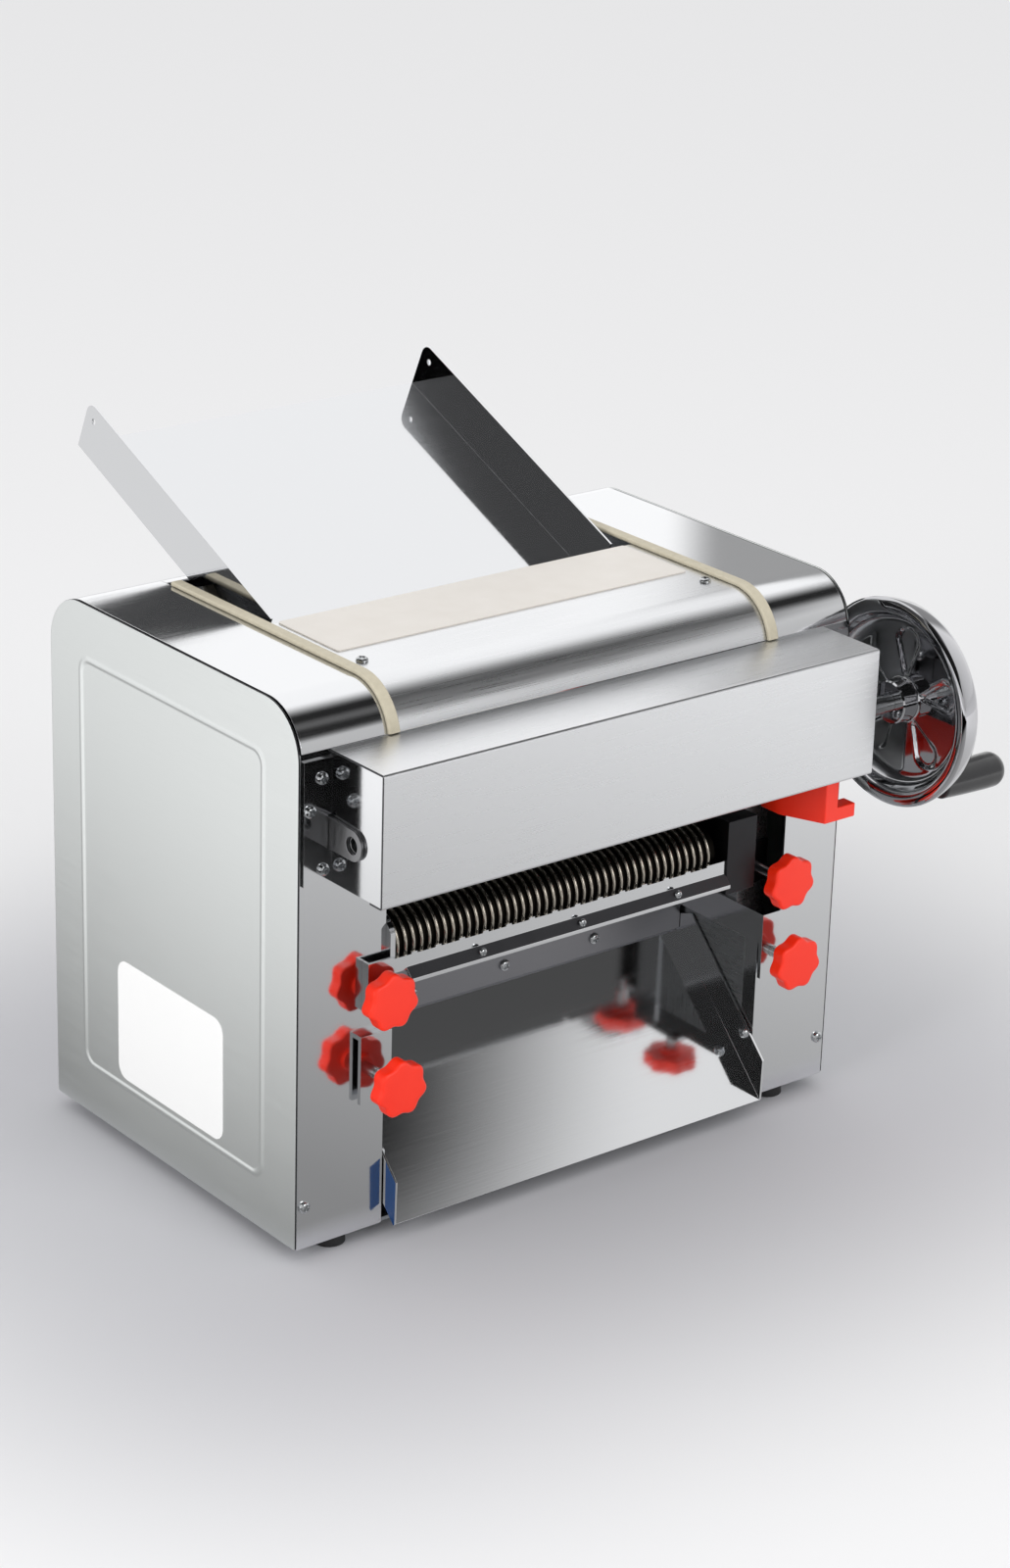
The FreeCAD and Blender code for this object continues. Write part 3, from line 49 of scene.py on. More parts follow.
def hex_linear(code):
    """An sRGB colour such as C8BFA4 turned to linear light: c / 12.92, or ((c + 0.055) / 1.055) ** 2.4."""
    channels = np.array([int(code[place:place + 2], 16) for place in (0, 2, 4)]) / 255
    linear = np.where(channels <= 0.04045, channels / 12.92, ((channels + 0.055) / 1.055) ** 2.4)
    return (*linear.tolist(), 1.0)


def node(tree, kind, inputs=None, **settings):
    """Add a shader node. Each input is a value or the output of another node."""
    made = tree.nodes.new(kind)
    for name, value in settings.items():
        setattr(made, name, value)
    for name, value in (inputs or {}).items():
        if isinstance(value, bpy.types.NodeSocket):
            tree.links.new(value, made.inputs[name])
        else:
            made.inputs[name].default_value = value
    return made


def finish(name, colour, roughness, metallic=0.0, **extra):
    """A material with one Principled shader. Returns it with its tree, its shader and Object coordinates."""
    made = bpy.data.materials.new(name)
    made.use_nodes = True
    shader = made.node_tree.nodes["Principled BSDF"]
    shader.inputs["Base Color"].default_value = hex_linear(colour)
    shader.inputs["Roughness"].default_value = roughness
    shader.inputs["Metallic"].default_value = metallic
    for key, value in extra.items():
        shader.inputs[key.replace("_", " ")].default_value = value
    return made, made.node_tree, shader, node(made.node_tree, "ShaderNodeTexCoord").outputs["Object"]


def steel(name, colour, roughness, spread, cells, wave, lines=0.25):
    """Sheet steel with a directional grain in its roughness and height, and a wave of the sheet over 90 mm.
    cells is the number of grain cells per metre along X, Y and Z. The real scratches are 0.05 mm apart, too
    fine to show in the render, so a cell is as coarse as it needs to be, 0.7 mm."""
    made, tree, shader, place = finish(name, colour, roughness, 1.0)
    spot = node(tree, "ShaderNodeMapping", {"Vector": place, "Scale": cells}).outputs["Vector"]
    grain = node(tree, "ShaderNodeTexNoise", {"Vector": spot, "Scale": 1.0, "Detail": 3.0}).outputs["Fac"]
    gloss = node(tree, "ShaderNodeMapRange", {"Value": grain, "From Min": 0.3, "From Max": 0.7,
                                              "To Min": roughness - spread, "To Max": roughness + spread})
    tree.links.new(gloss.outputs["Result"], shader.inputs["Roughness"])
    slow = node(tree, "ShaderNodeTexNoise", {"Vector": place, "Scale": 11.0, "Detail": 1.0}).outputs["Fac"]
    dent = node(tree, "ShaderNodeBump", {"Height": slow, "Strength": wave, "Distance": 1.0 * mm})
    line = node(tree, "ShaderNodeBump", {"Height": grain, "Normal": dent.outputs["Normal"], "Strength": lines,
                                         "Distance": 0.02 * mm})
    tree.links.new(line.outputs["Normal"], shader.inputs["Normal"])
    return made


def clouded(parts, cells, detail, low, high):
    """Vary a finish's roughness from low to high in clouds, with this many cells per metre."""
    made, tree, shader, place = parts
    cloud = node(tree, "ShaderNodeTexNoise", {"Vector": place, "Scale": cells, "Detail": detail})
    gloss = node(tree, "ShaderNodeMapRange", {"Value": cloud.outputs["Fac"], "To Min": low, "To Max": high})
    tree.links.new(gloss.outputs["Result"], shader.inputs["Roughness"])
    return parts


def oiled(name, colour, roughness):
    """Bare metal with a film of oil or air's tarnish, which lies on it in clouds 11 mm wide."""
    return clouded(finish(name, colour, roughness, 1.0), 90.0, 4.0, roughness * 0.6, roughness * 1.4)[0]


def surface(name, grid, ring=True, loop=False, caps=False):
    """Faces over a grid of points in mm. ring closes each row, loop joins the last row to the first, and caps
    closes the first and the last row with one flat face each."""
    rows, columns = grid.shape[:2]
    index = np.arange(rows * columns).reshape(rows, columns)
    lower = index if loop else index[:-1]
    upper = np.roll(index, -1, axis=0) if loop else index[1:]
    corners = [lower, np.roll(lower, -1, axis=1), np.roll(upper, -1, axis=1), upper]
    if not ring:
        corners = [corner[:, :-1] for corner in corners]
    faces = np.stack(corners, axis=-1).reshape(-1, 4).tolist()
    if caps:
        faces += [index[0].tolist(), index[-1].tolist()]
    mesh = bpy.data.meshes.new(name)
    mesh.from_pydata((grid.reshape(-1, 3) * mm).tolist(), [], faces)
    return mesh


def closed(name, *meshes):
    """One mesh out of several, with its doubles merged and its faces turned outwards."""
    shell = bmesh.new()
    for mesh in meshes:
        shell.from_mesh(mesh)
    bmesh.ops.remove_doubles(shell, verts=shell.verts, dist=0.001 * mm)
    bmesh.ops.recalc_face_normals(shell, faces=shell.faces)
    whole = bpy.data.meshes.new(name)
    shell.to_mesh(whole)
    shell.free()
    return whole


def piece(mesh, material, slot, body, *replaced, edge=0.0):
    """Show a mesh as a piece that rides on a body and stands for CAD nodes. edge is the width in mm by which
    sharp edges are rounded. Without it, edges of more than 35 degrees stay sharp."""
    mesh.shade_smooth()
    mesh.materials.append(material)
    made = bpy.data.objects.new(mesh.name, mesh)
    bpy.context.scene.collection.objects.link(made)
    if edge:
        bevel = made.modifiers.new("rounded_edges", "BEVEL")
        bevel.width = edge * mm
        bevel.segments = 2
        bevel.limit_method = "ANGLE"
        bevel.angle_limit = math.radians(30)
    else:
        mesh.set_sharp_from_angle(angle=math.radians(35))
    weight = made.modifiers.new("flat_faces_lead", "WEIGHTED_NORMAL")
    weight.keep_sharp = True
    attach(made, body)
    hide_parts(*replaced)


def second_finish(mesh, material, where):
    """Give the faces for which where(centre in mm, normal) holds another finish."""
    mesh.materials.append(material)
    for face in mesh.polygons:
        face.material_index = int(where(face.center / mm, face.normal))


def side_outline(inset, top_radius, low_radius, steps=14):
    """Y, Z points of the body's side view moved inwards by inset: four quarter circles joined by lines."""
    turn = np.linspace(0, math.pi / 2, steps)
    radius = np.array([low_radius, top_radius, top_radius, low_radius])
    front, back, bottom, top = body_front + inset, body_back - inset, body_bottom + inset, body_top - inset
    y = np.array([front, front, back, back]) + radius * [1, 1, -1, -1]
    z = np.array([bottom, top, top, bottom]) + radius * [1, -1, -1, 1]
    angle = np.radians([270, 180, 90, 0])[:, None] - turn
    return np.stack([y[:, None] + radius[:, None] * np.cos(angle),
                     z[:, None] + radius[:, None] * np.sin(angle)], axis=-1).reshape(-1, 2)


# Rings from the plate's inner face over its edge and the bead: inset, upper radius, lower radius, height
cover_rings = [(31, 8, 8, 0), (0.3, 27.7, 1.5, 0), (0, 28, 1.5, 0.3), (0, 28, 1.5, 0.7),
               (0.15, 27.8, 1.5, 1.05), (0.5, 27.5, 1.5, 1.2), (1, 27, 1.5, 1.2), (27, 9.5, 9.5, 1.2),
               (27.5, 9.3, 9.3, 1.2), (28.1, 9, 9, 1.4), (28.8, 8.5, 8.5, 1.7), (29.5, 8, 8, 1.8),
               (30.2, 7.5, 7.5, 1.7), (30.9, 7, 7, 1.4), (31.5, 6.6, 6.6, 1.2), (32, 6.2, 6.2, 1.2)]
cover_inner_face = 178.8
# Belt-ground stainless: its upright grain blurs every reflection, so that the eye sees silky, pale grey
satin_steel = steel("satin_ground_stainless", "E3E6E5", 0.34, 0.05, (1400, 26, 1400), 0.02)
# Painted shade: the sheet's cut edge is dark grey, for the shade in the seam round the plate's outline
sheared_edge = oiled("edge_painted_shade", "39393C", 0.45)
for side, name in ((-1, "left"), (1, "right")):
    rings = []
    for inset, top_radius, low_radius, height in cover_rings:
        line = side_outline(inset, top_radius, low_radius)
        rings.append(np.column_stack([np.full(len(line), side * (cover_inner_face + height)), line]))
    cover = closed(name + "_side_plate", surface("plate", np.array(rings), caps=True))
    piece(cover, satin_steel, "satin_steel", "machine_body", name + "_side_cover")
    second_finish(cover, sheared_edge, lambda centre, normal: abs(normal.x) < 0.5)


# Label on the left side cover. It is a bare white vinyl sticker with round corners, cut from film and rubbed
# on by hand.
def rounded_rectangle(x0, x1, y0, y1, radius, steps=5):
    """Points of a rectangle with round corners: four quarter circles joined by lines."""
    turn = np.linspace(0, math.pi / 2, steps + 1)
    x = np.array([x0, x1, x1, x0]) + radius * np.array([1, -1, -1, 1])
    y = np.array([y0, y0, y1, y1]) + radius * np.array([1, 1, -1, -1])
    angle = np.radians([180, 270, 0, 90])[:, None] + turn
    return np.stack([x[:, None] + radius * np.cos(angle), y[:, None] + radius * np.sin(angle)],
                    axis=-1).reshape(-1, 2)


def flat_plate(name, corners, radius, axis, rows, steps=5):
    """A flat plate across an axis (0 is X, 2 is Z): a rectangle with round corners, moved inwards by each
    row's inset and laid at its height."""
    x0, x1, y0, y1 = corners
    grid = []
    for inset, height in rows:
        line = rounded_rectangle(x0 + inset, x1 - inset, y0 + inset, y1 - inset, radius - inset, steps)
        grid.append(np.column_stack([np.full(len(line), height), line]))
    return surface(name, np.roll(np.array(grid), axis, axis=-1), caps=True)


def pitted(parts, cells, detail, strength):
    """Give a finish a relief 0.1 mm deep, with this many cells per metre."""
    made, tree, shader, place = parts
    pits = node(tree, "ShaderNodeTexNoise", {"Vector": place, "Scale": cells, "Detail": detail})
    bump = node(tree, "ShaderNodeBump", {"Height": pits.outputs["Fac"], "Strength": strength,
                                         "Distance": 0.1 * mm})
    tree.links.new(bump.outputs["Normal"], shader.inputs["Normal"])
    return parts


# Vinyl film: white and a little glossy, with the faint orange peel of its adhesive, 2.5 mm wide
vinyl = pitted(finish("white_vinyl_film", "F3F3F2", 0.32, IOR=1.5), 400.0, 1.0, 0.12)[0]
label = flat_plate("label", (-48, 50, 42, 110.5), 8, 0, [(0, -180.0), (0, -180.2), (0.15, -180.3)], 10)
piece(closed("bare_label", label), vinyl, "white_label", "machine_body", "side_label")


# Top covers. Sheets of rolled stainless steel, bent round the body's upper edges and screwed down: one over
# each housing, down to the floor of the body behind, and one between them.
def bent(angles, centres, radii, profile):
    """Carry a closed profile of X and height along a bent line in the Y, Z plane. Each point of the line is
    centre + radius * direction, and the height is added along the same direction."""
    direction = np.stack([np.cos(np.radians(angles)), np.sin(np.radians(angles))], axis=-1)
    line = np.array(centres, float) + np.array(radii, float)[:, None] * direction
    yz = line[:, None, :] + profile[None, :, 1:2] * direction[:, None, :]
    x = np.broadcast_to(profile[None, :, :1], (*yz.shape[:2], 1))
    return np.concatenate([x, yz], axis=-1)


# Bright rolled stainless: the mill's mirror, drawn out by a faint grain along X into soft bands
bright_steel = steel("bright_rolled_stainless", "E2E3E5", 0.1, 0.02, (22, 1300, 1300), 0.03)
sheet = 1.2
arc = 44
front_bend = (body_front + edge_radius, body_top - edge_radius)
rear_bend = (body_back - edge_radius, body_top - edge_radius)
front_sweep = np.linspace(168.46, 90, arc)
rear_sweep = np.linspace(90, 0, arc)
for x0, x1, name in ((-177.8, -126.1, "left"), (126.1, 177.8, "right")):
    wrap = bent(np.concatenate([front_sweep, rear_sweep, [0]]),
                [front_bend] * arc + [rear_bend] * arc + [(rear_bend[0], body_bottom)],
                [edge_radius] * (2 * arc + 1), rounded_rectangle(x0, x1, -sheet, 0, 0.3, 3))
    wrap = closed(name + "_housing_wrap", surface("wrap", wrap, caps=True))
    piece(wrap, bright_steel, "polished_steel", "machine_body", name + "_top_cover")
    # The wraps' cut ends get the same painted shade of the seam
    second_finish(wrap, sheared_edge, lambda centre, normal: abs(normal.x) > 0.9)
fold = np.linspace(90, 0, 6)
fold_radius = 1.6
fold_back, lip_low = 0.4, 288
cover = bent(np.concatenate([front_sweep, fold, [0]]),
             [front_bend] * arc + [(fold_back, body_top - fold_radius)] * 6 + [(fold_back, lip_low)],
             [edge_radius] * arc + [fold_radius] * 7, rounded_rectangle(-126, 126, -sheet, 0, 0.3, 3))
# Silky rolled stainless: duller than the bright sheet, so its bands of light run softly into each other
silky_steel = steel("silky_rolled_stainless", "E2E3E5", 0.3, 0.04, (22, 1300, 1300), 0.03, 0.1)
piece(closed("curved_middle_cover", surface("cover", cover, caps=True)), silky_steel, "polished_steel",
      "machine_body", "central_top_cover")


# Rear panel and base plate. The panel is the bright sheet with six punched air slots, a switch window and a
# cable hole. The base plate is zinc-coated and closes the body below.
def rounded_copy(source, edge, material, slot, body, second=None, where=None):
    """A copy of a CAD piece with its triangles merged, its flat faces joined and its edges rounded by edge
    mm, as deburring does. Faces for which where(centre, normal) holds, in mm, get the second finish."""
    shell = bmesh.new()
    shell.from_mesh(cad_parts[source].data)
    bmesh.ops.remove_doubles(shell, verts=shell.verts, dist=0.001 * mm)
    bmesh.ops.dissolve_limit(shell, angle_limit=math.radians(0.4), verts=shell.verts, edges=shell.edges)
    mesh = bpy.data.meshes.new(source + "_formed")
    shell.to_mesh(mesh)
    shell.free()
    if "custom_normal" in mesh.attributes:
        mesh.attributes.remove(mesh.attributes["custom_normal"])
    mesh.materials.clear()
    piece(mesh, material, slot, body, source, edge=edge)
    if second:
        second_finish(mesh, second, where)


def dress(material, *names):
    """Give CAD nodes that stay in view their finish."""
    for name in names:
        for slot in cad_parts[name].material_slots:
            slot.material = material


rounded_copy("rear_panel", 0.25, bright_steel, "polished_steel", "machine_body")
# Hot-dip zinc: dull grey, with spangles 8 mm wide that differ in gloss
zinc, tree, shader, place = finish("zinc_coated_steel", "A9ADB0", 0.42, 1.0)
spangle = node(tree, "ShaderNodeTexVoronoi", {"Vector": place, "Scale": 120.0}).outputs["Color"]
tone = node(tree, "ShaderNodeMapRange", {"Value": spangle, "To Min": 0.34, "To Max": 0.52}).outputs["Result"]
tree.links.new(tone, shader.inputs["Roughness"])
dress(zinc, "base_plate")


# Edge strips. Soft cream rubber mouldings, extruded and pressed over the joints between the covers, from
# their front edge over the curve to the flat top's end.
def mottled(parts, cells, detail, dark, pale):
    """Mix a finish's colour from dark to pale in spots, with this many cells per metre."""
    made, tree, shader, place = parts
    spots = node(tree, "ShaderNodeTexNoise", {"Vector": place, "Scale": cells, "Detail": detail})
    tint = node(tree, "ShaderNodeMix", {"Factor": spots.outputs["Fac"], "A": hex_linear(dark),
                                        "B": hex_linear(pale)}, data_type="RGBA")
    tree.links.new(tint.outputs["Result"], shader.inputs["Base Color"])
    return parts


# Cream rubber: matt, with a little dirt in a grain 4 mm wide, so it looks soft and used
rubber = pitted(finish("cream_rubber_moulding", "C6BEA8", 0.55, IOR=1.5), 260.0, 4.0, 0.2)
rubber = mottled(rubber, 260.0, 4.0, "B8B09A", "D2CAB5")[0]
strip_width, strip_height, strip_end = 7.0, 2.5, 78
strips = []
for x0 in (-127.2, 120.2):
    strip = bent(np.concatenate([front_sweep, [90]]), [front_bend] * arc + [(strip_end, front_bend[1])],
                 [edge_radius] * (arc + 1), rounded_rectangle(x0, x0 + strip_width, 0, strip_height, 1.1, 5))
    strips.append(surface("strip", strip, caps=True))
piece(closed("edge_mouldings", *strips), rubber, "cream_rubber", "machine_body", "edge_strips")


# Plate on the flat top. It is a bare cream plastic plate, cut from sheet and stuck down in front of the feed
# opening.

# Lacquered plastic: satin and warm, with a faint cloud 17 mm wide that keeps it from looking like paint
plastic = mottled(finish("cream_plastic_plate", "DCD6CF", 0.3, IOR=1.46), 60.0, 2.0, "D8D2CA", "E2DDD7")[0]
plate = flat_plate("plate", (-114.5, 114.5, -53, -0.2), 2, 2,
                   [(0, body_top), (0, body_top + 0.6), (0.2, body_top + 0.8)])
piece(closed("cream_top_plate", plate), plastic, "cream_plastic", "machine_body", "top_plate")


# Front panels and frame plates. The panels are bright sheet with a folded inner lip, screwed to the housings.
# The frame plates behind them carry the rollers and are cut from thick plate.
for name in ("left_front_panel", "right_front_panel"):
    rounded_copy(name, 0.3, bright_steel, "polished_steel", "machine_body")
# Ground plate: a coarser and darker grain than the sheet's, with hardly any picture in it
plate_steel = steel("ground_plate_steel", "B9BBBD", 0.3, 0.06, (1200, 60, 1200), 0.0)
for name in ("left_frame_plate", "right_frame_plate"):
    rounded_copy(name, 0.2, plate_steel, "plain_steel", "machine_body")


# Front box. One silky sheet is folded to a channel over the adjusting shaft, and two bright end brackets hold
# it. Inside, both are dark and dull: painted shade of the box's hollow.
box_half_width, box_front_bend, box_low, box_high = 161, -153.6, 207, 273.8
box_lip_end, box_back, box_middle = -145.2, -112.1, (-133, 240)
turn_low = np.linspace(270, 180, 7)
turn_high = np.linspace(180, 90, 7)
channel = bent(np.concatenate([[270], turn_low, turn_high, [90]]),
               [(box_lip_end, box_low)] + [(box_front_bend, box_low)] * 7 + [(box_front_bend, box_high)] * 7
               + [(box_back, box_high)],
               [fold_radius] * 16, rounded_rectangle(-box_half_width, box_half_width, -sheet, 0, 0.25, 3))
# Painted shade: dark grey, dull steel on the box's inner faces and the comb's apron, for the shade in the
# hollow
dull_steel = oiled("painted_shade_dull_steel", "58585B", 0.5)
channel = closed("adjuster_channel", surface("channel", channel, caps=True))
piece(channel, silky_steel, "polished_steel", "machine_body", "front_box_cover")
second_finish(channel, dull_steel, lambda centre, normal: abs(normal.x) > 0.9
              or normal.y * (centre.y - box_middle[0]) + normal.z * (centre.z - box_middle[1]) < -1)
# The brackets' inner faces get the same painted shade
rounded_copy("box_end_brackets", 0.5, bright_steel, "polished_steel", "machine_body", dull_steel,
             lambda centre, normal: abs(normal.x) > 0.9 and normal.x * centre.x < 0)


# Feed chute. A sheet with two folded side flanges, each with a round upper corner and a small hole. Angles
# welded under it reach the frame plates.

# Mirror stainless: so smooth that the flanges show clear pictures of what is round them
chute_steel = steel("mirror_stainless", "DADBDD", 0.06, 0.02, (22, 1300, 1300), 0.03, 0.12)
rounded_copy("feed_chute", 0.25, chute_steel, "polished_steel", "machine_body")


# Press rollers with their gears, blocks and scrapers. The barrels are ground and chromed and run in the frame
# plates and in sliding blocks. Gears and scrapers are machined steel.
def turned(profile, place, axis=0, steps=72):
    """Turn a profile of distance and radius round an axis through place (0 is X, 1 is Y, 2 is Z): each point
    becomes (distance, radius * cos, radius * sin)."""
    profile = np.array(profile, float)
    angle = np.linspace(0, math.tau, steps, endpoint=False)
    along = np.repeat(profile[:, :1], steps, axis=1)
    local = np.stack([along, profile[:, 1:2] * np.cos(angle), profile[:, 1:2] * np.sin(angle)], axis=-1)
    return np.roll(local, axis, axis=-1) + np.array(place)


def softened(points, cut, steps=4):
    """A line whose inner corners become quadratic curves between the points cut mm before and after them."""
    points = np.array(points, float)
    corner = points[1:-1]
    back = points[:-2] - corner
    ahead = points[2:] - corner
    start = corner + back * np.minimum(cut / np.linalg.norm(back, axis=1), 0.49)[:, None]
    end = corner + ahead * np.minimum(cut / np.linalg.norm(ahead, axis=1), 0.49)[:, None]
    t = np.linspace(0, 1, steps)[None, :, None]
    curve = (1 - t) ** 2 * start[:, None] + 2 * t * (1 - t) * corner[:, None] + t ** 2 * end[:, None]
    return np.concatenate([points[:1], curve.reshape(-1, 2), points[-1:]])


# Ground chrome: nearly a mirror, a little blurred by flour and grease
roller_chrome = oiled("ground_chromed_roller", "CFCFCE", 0.12)
# Gear steel: brownish grey under its oil, with a soft shine on the teeth
gear_steel = oiled("oiled_gear_steel", "8E8A84", 0.34)
# Cast iron: dark grey and almost matt
cast_iron = oiled("grey_cast_iron", "5E5F61", 0.55)
roller_z, barrel_end, barrel_radius, journal_radius = 236, 120, 24, 7
for name, body, y, left, right in (("front_press_roller", "front_roller", -5.25, -164.8, 164.8),
                                   ("rear_press_roller", "rear_roller", 43.25, -153.6, 157.8)):
    barrel = softened([(left, 0), (left, journal_radius), (-barrel_end, journal_radius),
                       (-barrel_end, barrel_radius), (barrel_end, barrel_radius),
                       (barrel_end, journal_radius), (right, journal_radius), (right, 0)], 0.8)
    barrel = closed(name + "_ground", surface("barrel", turned(barrel, (0, y, roller_z))))
    piece(barrel, roller_chrome, "roller_steel", body, name)
dress(gear_steel, "front_roller_gear", "rear_roller_gear", "big_gear", "roller_sprocket", "countershaft")
dress(cast_iron, "front_bearing_blocks")
dress(plate_steel, "roller_scrapers", "sheet_guide")


# Gap adjuster. A steel shaft with two cams, flat pushing arms, and a pressed and chromed hand wheel with five
# petal dents, held by a dome screw. The grip is turned phenolic on a shouldered bolt.

# Bright zinc: cool and shiny, with the cloudy bloom of its bath
zinc_bright = oiled("bright_zinc_plating", "C9CBCC", 0.2)
rounded_copy("adjusting_shaft", 0.2, zinc_bright, "plain_steel", "adjuster")
# Flat steel for the arms: mid grey with blurred lights, darker than bare steel as painted shade of the box
# over them
link_steel = steel("flat_steel_painted_shade", "9C9C9E", 0.36, 0.06, (400, 400, 60), 0.0)
rounded_copy("adjusting_arms", 0.25, link_steel, "plain_steel", "front_slider")
# Bright chrome: a clear mirror that breaks up in the wheel's petals and rim
wheel_chrome = oiled("bright_chrome_plating", "BEBEC1", 0.05)
wheel_axis = (0, -132.5, 232.3)
web_near, web_far, bore_radius = 203.6, 206.6, 5.1
web_radius = np.linspace(13.4, 40, 26)
hub = [(192.6, bore_radius), (192.6, 11.2), (193.4, 12), (202.8, 12), (203.4, 12.6)]
bowl = [(203.5, 41.5), (203.1, 43.2), (202.2, 44.9), (200.6, 46.4), (198.4, 47.6), (195.6, 48.5),
        (193.6, 49.2), (192.5, 50.3), (192.0, 51.8), (191.9, 53.4), (192.0, 55.2), (192.6, 56.8),
        (193.7, 57.6), (195.2, 57.55), (198.6, 56.8), (201.8, 55.8), (204.2, 54.9), (205.6, 53.9),
        (206.4, 52.6), (web_far, 51), (web_far, 46.5)]
profile = np.concatenate([hub, np.column_stack([np.full(26, web_near), web_radius]), bowl,
                          np.column_stack([np.full(26, web_far), web_radius[::-1]]),
                          [(web_far, bore_radius)]])
wheel = turned(profile, wheel_axis, steps=180)
# A petal is a drop whose half width grows outwards, and each web point sinks by how far it lies inside it
petals, petal_start, petal_length, petal_root, petal_growth, petal_slope = 5, 16, 15.9, 3, 6, 2.4
angle = np.arctan2(wheel[..., 2] - wheel_axis[2], wheel[..., 1] - wheel_axis[1])
reach = np.hypot(wheel[..., 2] - wheel_axis[2], wheel[..., 1] - wheel_axis[1])
from_petal = (angle - math.pi / 2 + math.pi / petals) % (math.tau / petals) - math.pi / petals
along, across = reach * np.cos(from_petal), reach * np.sin(from_petal)
share = np.clip((along - petal_start) / petal_length, 0, 1)
past_spine = np.hypot(along - petal_start - petal_length * share, across)
inside = np.clip((petal_root + petal_growth * share - past_spine) / petal_slope, 0, 1)
dent = np.where((reach > 13) & (reach < 43), inside ** 2 * (3 - 2 * inside), 0)
near_face, far_face = wheel[..., 0] < 205, wheel[..., 0] > 206
wheel[..., 0] += 1.5 * dent * near_face - 0.6 * dent * far_face
wheel = closed("pressed_hand_wheel", surface("wheel", wheel, loop=True))
piece(wheel, wheel_chrome, "wheel_chrome", "adjuster", "hand_wheel")
rounded_copy("wheel_bolts", 0.3, wheel_chrome, "plain_steel", "adjuster")
# Phenolic: deep black under a polish, with slight swirls 6 mm wide in its gloss
phenolic = finish("black_phenolic", "17171A", 0.22, IOR=1.58, Coat_Weight=0.4, Coat_Roughness=0.1)
phenolic = clouded(phenolic, 180.0, 3.0, 0.16, 0.3)[0]
grip_circle, grip_angle = 49.2, math.radians(-123.4)
grip_place = (0, wheel_axis[1] + grip_circle * math.cos(grip_angle),
              wheel_axis[2] + grip_circle * math.sin(grip_angle))
dome = np.linspace(0, math.pi / 2, 10)
grip_start, grip_bore = 206.9, 3.2
grip = np.concatenate([softened([(grip_start, grip_bore), (grip_start, 8.5), (222, 9.3), (238, 9.8),
                                 (244.5, 9.8)], 1.2, 6),
                       np.column_stack([244.5 + 7 * np.sin(dome), 2.8 + 7 * np.cos(dome)]), [(251.5, 0)]])
seam = turned([(grip_start, grip_bore)], grip_place)
grip = surface("grip", np.concatenate([turned(grip, grip_place), seam]))
piece(closed("turned_grip", grip), phenolic, "black_plastic", "grip", "wheel_grip")


# Cutter unit. Two rollers of hardened steel with ground ridges that mesh, in a bright end plate at the left
# and a blackened gear case at the right, with a folded comb strip along the front.
def toothed(x0, x1, teeth, module, bore, place, turn):
    """A gear along X: the radius is a trapezoid wave of the angle between the root and the tip circle."""
    angle = np.linspace(0, math.tau, teeth * 12, endpoint=False)
    phase = np.abs((angle * teeth / math.tau) % 1 - 0.5) * 2
    radius = teeth * module / 2 - 1.25 * module + 2.25 * module * np.clip((phase - 0.38) / 0.3, 0, 1)
    grid = [np.stack([np.full(len(angle), x), r * np.cos(angle + turn), r * np.sin(angle + turn)], axis=-1)
            for x, r in ((x0, bore), (x0, radius), (x1, radius), (x1, bore))]
    return surface("gear", np.array(grid) + np.array(place), loop=True)


# Cutter steel: the ridges' ground lands shine warm grey, and the colour turns nearly black towards the groove
# floors
cutter_steel, tree, shader, place = finish("cutter_steel_dark_grooves", "C6C4C0", 0.24, 1.0)
land = node(tree, "ShaderNodeAttribute", attribute_name="land").outputs["Fac"]
tone = node(tree, "ShaderNodeMix", {"Factor": land, "A": hex_linear("181613"), "B": hex_linear("ABA499")},
            data_type="RGBA")
tree.links.new(tone.outputs["Result"], shader.inputs["Base Color"])
gloss = node(tree, "ShaderNodeMapRange", {"Value": land, "To Min": 0.45, "To Max": 0.22}).outputs["Result"]
tree.links.new(gloss, shader.inputs["Roughness"])
ridge_count, ridge_pitch, groove_radius, axle_radius = 42, 5, 14.4, 5
axle_left, drum_left, drum_right, gear_left, gear_right = -125.9, -121.5, 90.5, 97.1, 111.9
ridge_x = np.array([0, 0.1, 0.35, 0.7, 1.1, 1.5, 1.85, 2.1, 2.2])
ridge_radius = np.array([groove_radius, 15.7, 16.1, 16.33, 16.4, 16.33, 16.1, 15.7, groove_radius])
